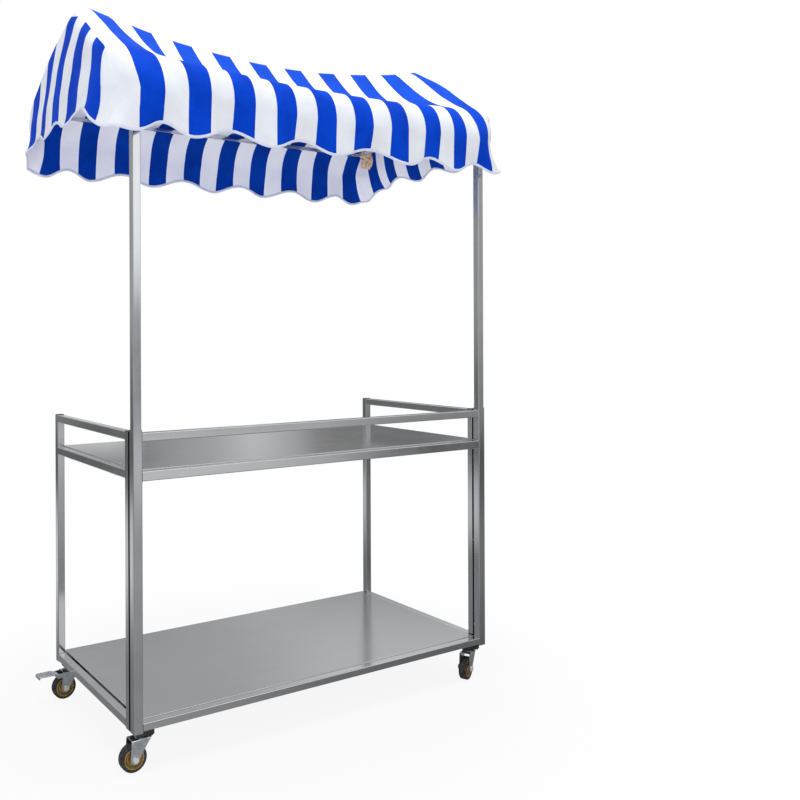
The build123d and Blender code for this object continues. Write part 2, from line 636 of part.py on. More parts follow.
# Pedal: a hub on the pin with a shoe that turns towards the tyre, an arm and a ribbed tread
def brake_pedal():
    pivot_x, pivot_z = pedal_pivot
    hub_half = fork_gap / 2 - PEDAL_SIDE_CLEARANCE
    hub_radius = PEDAL_HUB / 2
    across = Plane((0, hub_half, 0), x_dir=(1, 0, 0), z_dir=(0, -1, 0))
    to_axle = hypot(pivot_x - TRAIL, pivot_z - axle_height)
    shoe_reach = to_axle - WHEEL_DIAMETER / 2 - SHOE_CLEARANCE
    shoe_angle = degrees(atan2(axle_height - pivot_z, TRAIL - pivot_x)) + PEDAL_TRAVEL
    shoe = Pos(shoe_reach / 2, 0) * Rectangle(shoe_reach, SHOE_WIDTH)
    shoe = Pos(*pedal_pivot) * Rot(0, 0, shoe_angle) * shoe
    top = pivot_z + hub_radius + PEDAL_RISE
    knee = pivot_x + PEDAL_KNEE
    arm = [
        (pivot_x, pivot_z),
        (pivot_x, pivot_z + hub_radius),
        (knee, top),
        (knee, top - PEDAL_SHEET),
        (pivot_x + hub_radius, pivot_z),
    ]
    profile = Pos(*pedal_pivot) * Circle(hub_radius) + shoe + make_face(Polyline(*arm, close=True))
    solid = extrude(across * profile, amount=2 * hub_half)
    solid += rod((pivot_x, -fork_half, pivot_z), (0, 1, 0), 2 * fork_half, PEDAL_PIN)
    half = PEDAL_WIDTH / 2
    start = knee - PEDAL_SHEET
    tread = box_between((start, -half, top - PEDAL_LIP), (pedal_tip, half, top))
    tread = fillet(tread.faces().sort_by(Axis.X)[-1].edges().filter_by(Axis.Z), PEDAL_CORNER)
    tread = fillet(tread.faces().sort_by(Axis.X)[-1].edges().sort_by(Axis.Z)[-1], PEDAL_SHEET)
    inner_tip = pedal_tip - PEDAL_SHEET
    solid += tread - box_between((start, -half, top - PEDAL_LIP), (inner_tip, half, top - PEDAL_SHEET))
    pitch = (pedal_tip - knee) / (PEDAL_RIBS + 1)
    rib = Box(RIB_WIDTH, PEDAL_WIDTH - 2 * RIB_INSET, RIB_HEIGHT)
    for number in range(1, PEDAL_RIBS + 1):
        solid += Pos(knee + number * pitch, 0, top + RIB_HEIGHT / 2) * rib
    return solid


def castor_fixed_parts(places):
    half_pitch = PLATE_SIZE / 2 - PLATE_BOLT_INSET
    corners = [(dx, dy) for dx in (-half_pitch, half_pitch) for dy in (-half_pitch, half_pitch)]
    hole = CASTOR_BOLT + 2 * HOLE_CLEARANCE
    square = rounded_square(PLATE_SIZE, PLATE_CORNER)
    gusset = Pos(0, 0, castor_top) * extrude(square, amount=GUSSET_THICKNESS)
    plate = Pos(0, 0, plate_bottom) * extrude(square, amount=PLATE_THICKNESS)
    race_bottom = seat_height + SEAT_GAP
    race = ring((0, 0, race_bottom), (0, 0, 1), plate_bottom - race_bottom, RACE_OUTER, RACE_INNER)
    kingpin_hole = KINGPIN + 2 * RUNNING_FIT
    plate = plate + race - rod((0, 0, plate_bottom), (0, 0, 1), PLATE_THICKNESS, kingpin_hole)
    grip = PLATE_THICKNESS + GUSSET_THICKNESS
    for dx, dy in corners:
        cut = rod((dx, dy, plate_bottom), (0, 0, 1), grip, hole)
        gusset -= cut
        plate -= cut
    head_top = seat_height - FORK_SHEET - SEAT_GAP
    kingpin = rod((0, 0, head_top), (0, 0, 1), castor_top - head_top, KINGPIN)
    kingpin += rod((0, 0, head_top), (0, 0, -1), KINGPIN_HEAD_HEIGHT, KINGPIN_HEAD)
    bolts = []
    flats = across_flats(CASTOR_BOLT)
    for dx, dy in corners:
        bolt = hexagon((dx, dy, plate_bottom), (0, 0, -1), head_height(CASTOR_BOLT), flats)
        bolts.append(bolt + rod((dx, dy, plate_bottom), (0, 0, 1), grip, CASTOR_BOLT))
    parts["castor_gussets"] = group(Pos(x, y, 0) * gusset for x, y in places)
    parts["castor_plates"] = group(Pos(x, y, 0) * plate for x, y in places)
    parts["castor_kingpins"] = group(Pos(x, y, 0) * kingpin for x, y in places)
    parts["castor_bolts"] = group(Pos(x, y, 0) * bolt for x, y in places for bolt in bolts)


def castors():
    front_y = front_face + castor_inset
    rear_y = rear_face - castor_inset
    corners = {
        "front_left": (-castor_x, front_y),
        "front_right": (castor_x, front_y),
        "rear_left": (-castor_x, rear_y),
        "rear_right": (castor_x, rear_y),
    }
    castor_fixed_parts(corners.values())
    tyre, core = castor_wheel()
    axle = axle_set()
    pedal = brake_pedal()
    for name, (x, y) in corners.items():
        braked = name.startswith("rear")
        place = Location((x, y, 0), (0, 0, CASTOR_HEADINGS[name]))
        parts[f"{name}_fork"] = place * fork(braked)
        parts[f"{name}_axle"] = place * axle
        parts[f"{name}_wheel_core"] = place * core
        parts[f"{name}_tyre"] = place * tyre
        if braked:
            parts[f"{name}_brake_pedal"] = place * pedal


end_frame("left", -1)
end_frame("right", 1)
front_frame()
trays()
mast_fasteners()
post_caps()
canopy_frame()
canopy_cover()
parts["corner_ties"] = group(corner_tie(sign) for sign in (-1, 1))
castors()

os.makedirs("parts", exist_ok=True)
for name, shape in parts.items():
    export_step(shape, f"parts/{name}.step")
print(len(parts), "nodes")
print("front face", front_face, "rear face", rear_face, "mast", mast_x, mast_y, "size", mast_size)
print("swivel axes at x", castor_x, "y", front_face + castor_inset, rear_face - castor_inset)
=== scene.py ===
import math
import bmesh
import bpy
import numpy as np
from mathutils import Matrix, Vector, noise


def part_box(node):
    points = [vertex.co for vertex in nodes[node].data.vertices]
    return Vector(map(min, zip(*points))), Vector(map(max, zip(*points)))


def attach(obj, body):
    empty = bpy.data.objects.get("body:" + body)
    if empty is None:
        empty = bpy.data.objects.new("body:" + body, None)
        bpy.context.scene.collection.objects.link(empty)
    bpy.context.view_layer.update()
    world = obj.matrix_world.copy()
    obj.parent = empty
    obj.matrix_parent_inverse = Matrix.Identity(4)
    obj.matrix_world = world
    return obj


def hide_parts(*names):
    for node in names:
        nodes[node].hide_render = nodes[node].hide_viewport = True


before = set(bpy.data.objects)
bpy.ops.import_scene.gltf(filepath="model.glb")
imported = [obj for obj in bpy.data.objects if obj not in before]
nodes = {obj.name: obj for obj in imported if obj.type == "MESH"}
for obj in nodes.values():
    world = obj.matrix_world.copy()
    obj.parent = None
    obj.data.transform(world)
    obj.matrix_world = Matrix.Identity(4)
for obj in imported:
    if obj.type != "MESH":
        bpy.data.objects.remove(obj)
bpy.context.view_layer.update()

scene = bpy.context.scene
scene.view_settings.view_transform = "Standard"
print("frame loaded:", len(nodes), "nodes")


def bothWays(operation):  # an operator and its reflected form
    def plain(self, other):
        return self.math(operation, self, other)

    def reflected(self, other):
        return self.math(operation, other, self)

    return plain, reflected


class Wire:  # one socket of a node tree, with arithmetic
    def __init__(self, grower, socket):
        self.grower = grower
        self.socket = socket

    def math(self, operation, first, second=None):
        values = {0: first} if second is None else {0: first, 1: second}
        return self.grower.add("ShaderNodeMath", {"operation": operation}, values)

    __add__, __radd__ = bothWays("ADD")
    __sub__, __rsub__ = bothWays("SUBTRACT")
    __mul__, __rmul__ = bothWays("MULTIPLY")
    __mod__, __rmod__ = bothWays("FLOORED_MODULO")
    __lt__, __gt__ = bothWays("LESS_THAN")  # a > b is b < a

    def beside(self, output):  # another output of the same node
        return Wire(self.grower, self.socket.node.outputs[output])

    def larger(self, other):
        return self.math("MAXIMUM", self, other)

    def wave(self, count):  # a sine from -1 to 1, so many times in a metre
        return self.math("SINE", self * (count * math.tau))

    def fade(self, low, high):  # 0 at low, 1 at high, smooth between
        return self.grower.add("ShaderNodeMapRange", {"interpolation_type": "SMOOTHSTEP"},
                              {"Value": self, "From Min": low, "From Max": high})


class Grower:  # adds nodes to one tree
    def __init__(self, tree):
        self.tree = tree

    def add(self, kind, settings=None, sockets=None, out=0):
        node = self.tree.nodes.new(kind)
        for key, value in (settings or {}).items():
            setattr(node, key, value)
        for key, value in (sockets or {}).items():
            if isinstance(value, Wire):
                self.tree.links.new(value.socket, node.inputs[key])
            else:
                node.inputs[key].default_value = value
        return Wire(self, node.outputs[out])


class Paint(Grower):  # the tree of one material, or of the world
    def __init__(self, owner, output="ShaderNodeOutputMaterial"):
        owner.use_nodes = True
        super().__init__(owner.node_tree)
        self.owner = owner
        self.tree.nodes.clear()
        self.output = self.tree.nodes.new(output)

    def place(self, scale=(1, 1, 1)):
        coords = self.add("ShaderNodeTexCoord", out="Object")
        return self.add("ShaderNodeMapping", {}, {"Vector": coords, "Scale": scale})

    def part(self, vector, axis):
        return self.add("ShaderNodeSeparateXYZ", {}, {"Vector": vector}, out=axis)

    def cutMap(self):  # the piece's own map, and its two directions, in metres
        cut = self.add("ShaderNodeUVMap", {"uv_map": "cut"}, out="UV")
        return cut, self.part(cut, "X"), self.part(cut, "Y")

    def grain(self, vector, scale, detail=2.0, rough=0.5):
        return self.add("ShaderNodeTexNoise", {}, {"Vector": vector, "Scale": scale, "Detail": detail,
                                                   "Roughness": rough}, out="Fac")

    def spots(self, *settings):  # noise at the piece's own places
        return self.grain(self.place(), *settings)

    def blend(self, factor, first, second):  # a colour is "#rrggbb", four numbers or a link
        first, second = (colour(value) if isinstance(value, str) else value for value in (first, second))
        return self.add("ShaderNodeMix", {"data_type": "RGBA"}, {0: factor, 6: first, 7: second}, out=2)

    def tint(self, tone, look):
        return self.blend(tone, look["dark"], look["light"])

    def cover(self, shader):
        self.tree.links.new(shader.socket, self.output.inputs["Surface"])
        return self.owner

    def finish(self, look, base, uneven, relief, links=None):
        bump = {"Height": relief, "Strength": look["bump"], "Distance": look["depth"]}
        sockets = {"Base Color": base, "Roughness": uneven * look["uneven"] + look["roughness"],
                   "Normal": self.add("ShaderNodeBump", {}, bump), **look.get("sockets", {}), **(links or {})}
        return self.cover(self.add("ShaderNodeBsdfPrincipled", {}, sockets, out="BSDF"))


def newPaint(name):
    return Paint(bpy.data.materials.new(name))


def colour(text):  # "#rrggbb" as the shader wants it
    parts = [int(text[i:i + 2], 16) / 255 for i in (1, 3, 5)]
    return tuple(p / 12.92 if p <= 0.04045 else ((p + 0.055) / 1.055) ** 2.4 for p in parts) + (1.0,)


def shared(shares, *wires):  # the wires added up, each by its share
    return sum(wire * share for wire, share in zip(wires, shares))


noiseMiddle = 0.5  # what noise varies about

# Steel of the tubes and trays: satin, with the grain along the piece
steelLook = {
    "light": "#d6d8da", "dark": "#c6c9cb", "roughness": 0.12, "uneven": 1.0, "sockets": {"Metallic": 1.0},
    "grainLength": 9.0, "grainWidth": 900.0, "bandLength": 1.2, "bandWidth": 24.0, "grainRough": 0.05,
    "smudge": 7.0, "smudgeFade": (0.35, 0.75), "smudgeRough": 0.06, "shares": (0.45, 0.35, 0.2),
    # paintedGapShade is a near-black painted shade for the narrow gap between two tubes
    "contrast": (0.25, 0.75), "bump": 0.2, "depth": 0.000006, "paintedGapShade": "#1c1c1c", "paintedGapShadeReach": 0.0012,
}
uprightLook = {**steelLook, "light": "#cacccf", "dark": "#babdc0", "roughness": 0.13}
trayLook = {**steelLook, "light": "#c9cbce", "dark": "#c5c7ca", "roughness": 0.18, "uneven": 0.4,
            "bump": 0.08}
counterLook = {**trayLook, "dark": "#c3c5c8", "roughness": 0.12}


def brushedSteel(name, axis, look, gap=None):
    paint = newPaint(name)

    def drawnOut(length, width):  # places that make noise run along the piece
        return paint.place([length if letter == axis else width for letter in "XYZ"])

    fine = paint.grain(drawnOut(look["grainLength"], look["grainWidth"]), 1.0, 3.0, 0.6)
    band = paint.grain(drawnOut(look["bandLength"], look["bandWidth"]), 1.0)
    smudge = paint.spots(look["smudge"], 4.0, 0.65).fade(*look["smudgeFade"])
    base = paint.tint(shared(look["shares"], fine, band, smudge).fade(*look["contrast"]), look)
    if gap:  # painted shade: the narrow gap between two tubes is painted dark for the shade that falls in it
        depth = paint.part(paint.place(), "Y")
        base = paint.blend((depth > gap[0]) * (depth < gap[1]), base, look["paintedGapShade"])
    uneven = (fine - noiseMiddle + band - noiseMiddle) * look["grainRough"] + smudge * look["smudgeRough"]
    return paint.finish(look, base, uneven, fine)


zincLook = {"light": "#e2e7ec", "dark": "#b2bac2", "roughness": 0.24, "uneven": 0.22, "spangle": 140.0,
            "broad": 30.0, "shares": (0.5, 0.5), "contrast": (0.3, 0.7), "bump": 0.2, "depth": 0.00005,
            "sockets": {"Metallic": 1.0}}
# partly painted highlight: the axles, kingpins, screws, bolts and spacers are zinc, given a near-white,
# half-metallic finish that stands in for the bright highlight on the domed axle nuts
boltHighlightLook = {**zincLook, "light": "#eceef0", "dark": "#d0d4d8", "roughness": 0.20, "spangle": 200.0,
            "sockets": {"Metallic": 0.35}}
# painted shade: the castor plates, gussets and bolts are coloured dark grey for the shade that falls under
# the tubes
paintedShadeLook = {**zincLook, "light": "#6a6765", "dark": "#4a4746", "roughness": 0.46, "spangle": 180.0}


def zincPlate(name, look):
    paint = newPaint(name)
    cloud = paint.spots(look["spangle"], 3.0, 0.6)
    broad = paint.spots(look["broad"])
    base = paint.tint(shared(look["shares"], cloud, broad).fade(*look["contrast"]), look)
    return paint.finish(look, base, cloud - noiseMiddle, cloud)


rubberLook = {"light": "#575555", "dark": "#282626", "roughness": 0.58, "uneven": 0.2, "fine": 1400.0,
              "dust": 90.0, "dustFade": (0.45, 0.75), "bump": 0.3, "depth": 0.00006}


def tyreRubber(name, look):
    paint = newPaint(name)
    fine = paint.spots(look["fine"])
    dust = paint.spots(look["dust"], 3.0, 0.6).fade(*look["dustFade"])
    return paint.finish(look, paint.tint(dust, look), dust, fine)


amberLook = {"light": "#bc994c", "dark": "#443114", "roughness": 0.30, "uneven": 0.15, "rings": 260.0,
             "flow": 45.0, "speck": 420.0, "shares": (0.45, 0.4, 0.15), "contrast": (0.2, 0.8), "bump": 0.15,
             "depth": 0.00005, "sockets": {"Coat Weight": 0.25}}


def amberNylon(name, look, centre):  # moulded in rings round the wheel's middle
    paint = newPaint(name)
    coords = paint.add("ShaderNodeTexCoord", out="Object")
    offset = paint.add("ShaderNodeVectorMath", {"operation": "SUBTRACT"}, {0: coords, 1: centre})
    away = paint.add("ShaderNodeVectorMath", {"operation": "LENGTH"}, {0: offset}, out="Value")
    ring = away.wave(look["rings"]) * 0.5 + 0.5
    flow = paint.grain(coords, look["flow"])
    speck = paint.grain(coords, look["speck"], 3.0)
    base = paint.tint(shared(look["shares"], ring, flow, speck).fade(*look["contrast"]), look)
    return paint.finish(look, base, speck - noiseMiddle, speck)


plugLook = {"light": "#4a4b4e", "dark": "#333437", "roughness": 0.45, "uneven": 0.12, "pebble": 900.0,
            "scuff": 70.0, "scuffFade": (0.5, 0.8), "bump": 0.25, "depth": 0.00005}


def plugPlastic(name, look):
    paint = newPaint(name)
    pebble = paint.spots(look["pebble"])
    scuff = paint.spots(look["scuff"], 3.0).fade(*look["scuffFade"])
    return paint.finish(look, paint.tint(scuff, look), pebble, pebble)


clothLook = {
    "blue": "#0047d5", "blueDeep": "#003cbc", "white": "#eef2fa", "whiteShade": "#e4e7ef", "pitch": 0.130,
    "blueWidth": 0.0645, "edgeGrain": 900.0, "edgeShift": 0.0008, "patches": 9.0, "patchFade": (0.3, 0.7),
    # glareBlue is a painted highlight, a lighter blue for the light falling on the roof from above
    "glareBlue": "#2d61c6", "glareShare": 0.25, "glareFade": (1.78, 1.86), "roofSeam": 0.9, "paintedGlow": 0.0,
    "weave": 1150.0, "fuzz": 2600.0, "crease": 60.0, "shares": (0.3, 0.2, 0.5), "bump": 0.25,
    "depth": 0.0006, "roughness": 0.78, "uneven": 0.08,
    "sockets": {"Sheen Weight": 0.01, "Sheen Roughness": 0.5, "Specular IOR Level": 0.04},
}
# painted light and shade: the inside copy of the cloth has a darker blue for the shade inside the canopy, and
# a brighter white and a faint glow for light shining through the cloth
paintedInsideLook = {**clothLook, "blue": "#033dab", "blueDeep": "#023393", "white": "#f4f6ff",
              "whiteShade": "#ecedf9", "paintedGlow": 0.09, "glareShare": 0.0}


def stripedCloth(name, look):
    paint = newPaint(name)
    cut, along, down = paint.cutMap()
    seam = paint.add("ShaderNodeAttribute", {"attribute_name": "seam"}, out="Fac")
    edge = paint.grain(cut, look["edgeGrain"], 1.0) * look["edgeShift"]
    inBlue = ((along + edge) % look["pitch"] < look["blueWidth"]) * (seam > 0.0)  # white laps over the ends
    patch = paint.grain(cut, look["patches"], 3.0, 0.6).fade(*look["patchFade"])
    # painted highlight on the roof above the shoulder, not on the gables
    roofGlare = paint.part(paint.place(), "Z").fade(*look["glareFade"]) * (seam > look["roofSeam"]) * look["glareShare"]
    blue = paint.blend(patch, look["blueDeep"], look["blue"])
    blue = paint.blend(roofGlare, blue, look["glareBlue"])  # painted highlight: the roof's blue is painted lighter for the light falling on it from above, its ends not
    base = paint.blend(inBlue, paint.blend(patch, look["whiteShade"], look["white"]), blue)
    weave = along.wave(look["weave"]) * down.wave(look["weave"]) * 0.5 + 0.5
    fuzz = paint.grain(cut, look["fuzz"])
    crease = paint.grain(cut, look["crease"], 3.0, 0.6)
    # paintedGlow is an emission that stands in for light shining through the cloth
    return paint.finish(look, base, weave, shared(look["shares"], weave, fuzz, crease),
                        {"Emission Color": base, "Emission Strength": look["paintedGlow"]})


tapeLook = {"light": "#e6eaf8", "dark": "#ced7ee", "roughness": 0.7, "uneven": 0.1, "ribs": 700.0,
            "threadsPerRib": 2.2, "shade": 60.0, "shares": (0.25, 0.75), "contrast": (0.25, 0.75),
            "reliefShares": (0.7, 0.3), "bump": 0.3, "depth": 0.0002, "sockets": {"Sheen Weight": 0.2}}
ribbonLook = {**tapeLook, "light": "#fff0d8", "dark": "#d2a26a", "roughness": 0.6, "ribs": 900.0}


def wovenTape(name, look):
    paint = newPaint(name)
    cut, along, across = paint.cutMap()
    rib = along.wave(look["ribs"]) * 0.5 + 0.5
    thread = across.wave(look["threadsPerRib"] * look["ribs"]) * 0.5 + 0.5
    shade = paint.grain(cut, look["shade"], 3.0, 0.6)
    base = paint.tint(shared(look["shares"], rib, shade).fade(*look["contrast"]), look)
    return paint.finish(look, base, rib, shared(look["reliefShares"], rib, thread))


threadLook = {"light": "#e8eaf2", "dark": "#c4c8d8", "roughness": 0.55, "uneven": 0.2, "twist": 1800.0,
              "bump": 0.3, "depth": 0.0001}


def sewingThread(name, look):
    paint = newPaint(name)
    twist = paint.spots(look["twist"])
    return paint.finish(look, paint.tint(twist, look), twist, twist)


weldLook = {"clean": "#c9c9c8", "heated": "#a89c8c", "roughness": 0.22, "uneven": 0.3, "scale": 500.0,
            "heat": 60.0, "heatFade": (0.45, 0.7), "bump": 0.3, "depth": 0.0001, "sockets": {"Metallic": 1.0}}


def weldMetal(name, look):
    paint = newPaint(name)
    scale = paint.spots(look["scale"], 3.0)
    heat = paint.spots(look["heat"]).fade(*look["heatFade"])
    return paint.finish(look, paint.blend(heat, look["clean"], look["heated"]), scale, scale)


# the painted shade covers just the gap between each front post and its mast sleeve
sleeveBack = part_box("left_mast_sleeve")[1].y - steelLook["paintedGapShadeReach"]
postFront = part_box("left_front_post")[0].y + steelLook["paintedGapShadeReach"]
steelAlong = {axis: brushedSteel("brushedSteel" + axis, axis, look)
              for axis, look in (("X", steelLook), ("Y", steelLook), ("Z", uprightLook))}
cloth = stripedCloth("stripedCloth", clothLook)
paintedInside = stripedCloth("clothInside", paintedInsideLook)
tape = wovenTape("hemTape", tapeLook)
ribbonCloth = wovenTape("ribbonCloth", ribbonLook)
thread = sewingThread("hemThread", threadLook)
weld = weldMetal("weldMetal", weldLook)

finishRules = (  # the first row with the end of a node's name gives its finish
    (tyreRubber("tyreRubber", rubberLook), ("_tyre",)),
    (plugPlastic("plugPlastic", plugLook), ("post_caps", "arch_plugs")),
    # painted shade on the castor plates, gussets and bolts
    (zincPlate("paintedShadeSteel", paintedShadeLook), ("castor_plates", "castor_gussets", "castor_bolts")),
    (zincPlate("brightZinc", boltHighlightLook), ("_axle", "castor_kingpins", "bracket_screws", "mast_bolts",
                                         "mast_spacers")),
    (zincPlate("zincPlate", zincLook), ("_fork", "_brake_pedal")),
    (brushedSteel("postSteel", "Z", uprightLook, (sleeveBack, postFront)), ("_front_post", "_mast_sleeve")),
    (brushedSteel("counterSteel", "X", counterLook), ("counter_tray",)),
    (brushedSteel("traySteel", "X", trayLook), ("base_deck", "tray_stiffeners")),
    (steelAlong["X"], ("front_hand_rail", "front_counter_rail", "front_base_rail", "_eave_bar")),
    (steelAlong["Y"], ("_rail", "_brace", "_arch", "tray_brackets")),
    (steelAlong["Z"], ("",)),
)


def finishOf(nodeName):
    if nodeName.endswith("_wheel_core"):
        boxLow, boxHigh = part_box(nodeName)
        return amberNylon(nodeName.replace("_core", "Amber"), amberLook, tuple((boxLow + boxHigh) / 2))
    return next(material for material, endings in finishRules if nodeName.endswith(endings))


for nodeName, node in nodes.items():
    node.data.materials.clear()
    node.data.materials.append(finishOf(nodeName))
finishCount = len({node.data.materials[0] for node in nodes.values()})
print("finishes:", finishCount, "materials on", len(nodes), "nodes")


# Canopy cloth: one sheet over the arches, with skirts all round
canopySize = {
    "halfLengths": {-1: 0.650, 1: 0.626}, "endPlace": 0.62, "shoulderY": 0.290, "skirtY": 0.368,
    "hemY": 0.359, "ridgeMiddle": 1.936, "ridgeSag": 0.0754, "shoulderMiddle": 1.782, "shoulderSag": 0.035,
    "shoulderPower": 2.2, "crestDrop": 0.0035, "crestWidth": 0.016, "hollow": 1.25, "hollowFrom": 0.60,
    "hollowOver": 0.27, "roundDrop": 0.100, "roundDropEnd": 0.072, "dropZone": (0.35, 0.25),
    "cornerOver": 0.05, "ripple": 0.0065, "ripplePower": 1.4, "rowsPower": 1.15, "skirtRows": 24,
    "roundRows": 14, "roofRows": 38, "ridgeRows": 4, "columns": 201, "thickness": 0.0012, "seamShare": 1.01,
    "front": {"lows": (-0.608, -0.455, -0.220, -0.016, 0.251, 0.437, 0.609), "low": 1.586, "high": 1.616,
              "corners": {-1: 1.592, 1: 1.605}},
    "rear": {"lows": (-0.608, -0.455, -0.240, -0.008, 0.197, 0.423, 0.597), "low": 1.585, "high": 1.612,
             "corners": {-1: 1.598, 1: 1.598}},
    "gable": {
        "flare": 0.030, "flareOver": 0.06, "flarePower": {-1: 2, 1: 3}, "belly": 0.012, "waveIn": 0.007,
        "hemRise": 0.052, "wave": 0.013, "wavePitch": 0.187, "waveShift": 0.214, "waveTo": 0.345,
        "waveOver": 0.085, "reach": 1.3,  # of the rounding, in radii
        "radius": ((1.582, 0.035), (1.652, 0.074), (1.692, 0.085), (1.742, 0.056), (1.782, 0.036),
                   (1.832, 0.034), (1.90, 0.042), (1.95, 0.050), (1.975, 0.056), (1.985, 0.060),
                   (1.991, 0.066), (1.998, 0.073), (2.006, 0.080)),  # by height
        "rightRadius": ((1.742, 0.100), (1.782, 0.022), (1.90, 0.022), (1.95, 0.026), (1.985, 0.042)),
    },
    "loose": {  # the left end, each zone a start and a stretch
        "front": 0.024, "rear": 0.010, "hem": 0.008, "rearHemIn": 0.016, "endZone": (0.55, 0.10),
        "hemZone": (1.62, 0.12), "rearZone": (-0.05, 0.25), "topZone": (1.80, 0.16),
        "rearTopZone": (1.89, 0.10),
    },
    "wrinkles": {  # each layer a fineness, a depth and whether it is deepest at the hem
        "layers": (((5.5, 5.5, 4.0), 0.0022, False), ((17.0, 17.0, 9.0), 0.0011, False),
                   ((26.0, 26.0, 3.0), 0.0035, True)),
        "roofShift": 3.7, "endShift": 9.1, "edgeOver": 0.03, "endRows": 6,
        "barHold": 0.8, "barY": 0.315, "barYReach": 0.035, "barZ": 1.782, "barZReach": 0.03,
    },
    "stripes": {  # the ends go from depth to place in the cut
        "start": -0.596, "rearSkew": 0.050, "rearSkewEnd": 0.020, "skewReach": 0.6, "squeeze": 0.23,
        "squeezeFrom": 0.36, "squeezeReach": 0.30, "lap": 0.004, "ridgeLap": 0.026, "ridgeLapReach": 0.05,
        "ends": {-1: ((-0.368, -0.0545), (0.3315, 0.645), (0.368, 0.645)),
                 1: ((-0.368, -0.037), (-0.169, 0.162), (0.077, 0.422), (0.194, 0.552), (0.277, 0.682),
                     (0.306, 0.7145), (0.368, 0.775))},
    },
}


def smooth(t):
    t = np.clip(t, 0.0, 1.0)
    return t * t * (3 - 2 * t)


def between(first, last, share):
    return first + (last - first) * share


def ramp(value, start, over):  # 0 up to start, 1 beyond the stretch after it
    return smooth((value - start) / over)


def tableAt(table, place):  # straight between the rows of a table
    return np.interp(place, *zip(*table))


def runLength(points):
    return np.concatenate([[0], np.cumsum(np.linalg.norm(np.diff(points, axis=0), axis=1))])


def hemWave(x, lows):  # 1 at the low points of the hem, -1 at the high ones
    places = np.concatenate([[2 * lows[0] - lows[1]], lows, [2 * lows[-1] - lows[-2]]])
    phase = np.interp(x, places, np.arange(len(places)))
    return float(np.cos(math.tau * phase))


def halfSection(x, hem):  # points from the hem to the ridge as (outward, up), seen along the cart
    size = canopySize
    sign = -1 if x < 0 else 1
    span = abs(x) / size["endPlace"]
    ridge = size["ridgeMiddle"] + size["ridgeSag"] * min(span, 1.0) ** 2
    shoulder = size["shoulderMiddle"] + size["shoulderSag"] * span ** size["shoulderPower"]
    hollow = size["hollow"] * smooth((size["hollowFrom"] - abs(x)) / size["hollowOver"])
    slope = (ridge - shoulder) * (1 - hollow) / size["shoulderY"]
    top = np.array([size["shoulderY"], shoulder])
    bend = np.array([size["skirtY"], shoulder - max(slope, 0.0) * (size["skirtY"] - size["shoulderY"])])
    drop = between(size["roundDrop"], size["roundDropEnd"], ramp(abs(x), *size["dropZone"]))
    foot = bend - np.array([0.0, drop])
    wave = hemWave(x, hem["lows"])
    hemZ = (hem["low"] + hem["high"]) / 2 - wave * (hem["high"] - hem["low"]) / 2
    cornerFrom = size["halfLengths"][sign] - size["cornerOver"]
    hemZ = between(hemZ, hem["corners"][sign], ramp(abs(x), cornerFrom, size["cornerOver"]))
    rows = np.linspace(0, 1, size["skirtRows"]) ** size["rowsPower"]
    skirt = np.stack([between(size["hemY"], foot[0], rows), between(hemZ, foot[1], rows)], 1)
    skirt[:, 0] += size["ripple"] * wave * (1 - rows) ** size["ripplePower"]
    t = np.linspace(0, 1, size["roundRows"] + 1)[1:, None]
    weight = math.sqrt(0.5)  # makes the bend nearly an arc
    mix = (1 - t) ** 2 + 2 * weight * t * (1 - t) + t ** 2
    curve = ((1 - t) ** 2 * foot + 2 * weight * t * (1 - t) * bend + t ** 2 * top) / mix
    t = np.linspace(0, 1, size["roofRows"] + 1)[1:]
    roofY = size["shoulderY"] * (1 - t)
    roofZ = shoulder + (ridge - shoulder) * (t - hollow * (t - t * t))
    roofZ -= size["crestDrop"] * np.exp(-(roofY / size["crestWidth"]) ** 2)  # the ridge is slightly round
    return np.concatenate([skirt, curve, np.stack([roofY, roofZ], 1)])


def wholeSection(x):  # from the front hem over the ridge to the rear hem
    front, rear = (halfSection(x, canopySize[side]) for side in ("front", "rear"))
    return np.concatenate([front * [-1, 1], rear[-2::-1]])


def unit(vectors):
    return vectors / np.maximum(np.linalg.norm(vectors, axis=-1, keepdims=True), 1e-9)


def sectionNormals(line):
    step = np.gradient(line, axis=0)
    return unit(np.stack([-step[:, 1], step[:, 0]], 1))


def gridNormals(grid):
    return unit(np.cross(np.gradient(grid, axis=0), np.gradient(grid, axis=1)))


def sewEdge(end, edge):  # a gable takes the roof's edge on three of its sides
    tall = end.shape[1]
    end[0] = edge[:tall]
    end[-1] = edge[::-1][:tall]
    end[:, -1] = edge[tall - 1:len(edge) - tall + 1]


def cornerRadius(z, sign):
    gable = canopySize["gable"]
    radius = tableAt(gable["radius"], z)
    return np.minimum(radius, tableAt(gable["rightRadius"], z)) if sign > 0 else radius


def smallerCap(before, after):  # the ridge's section, smaller where the cloth turns down at its ends
    shrink = (after[-1, 0] - after[0, 0]) / (before[-1, 0] - before[0, 0])
    return (after[0] + after[-1]) / 2 + (before - (before[0] + before[-1]) / 2) * shrink


def ridgeSlice(rows):
    return slice(rows // 2 - canopySize["ridgeRows"], rows // 2 + canopySize["ridgeRows"] + 1)


def looseEnd(grid):  # how far the cloth hangs out beyond the left arch
    loose = canopySize["loose"]
    x, y, z = grid[..., 0], grid[..., 1], grid[..., 2]
    rearward = ramp(y, *loose["rearZone"])
    out = loose["front"] * (1 - ramp(z, *loose["topZone"]))
    out = between(out, loose["rear"] * (1 - ramp(z, *loose["rearTopZone"])), rearward)
    hem = loose["hem"] - loose["rearHemIn"] * rearward
    return between(hem, out, ramp(z, *loose["hemZone"])) * ramp(-x, *loose["endZone"])


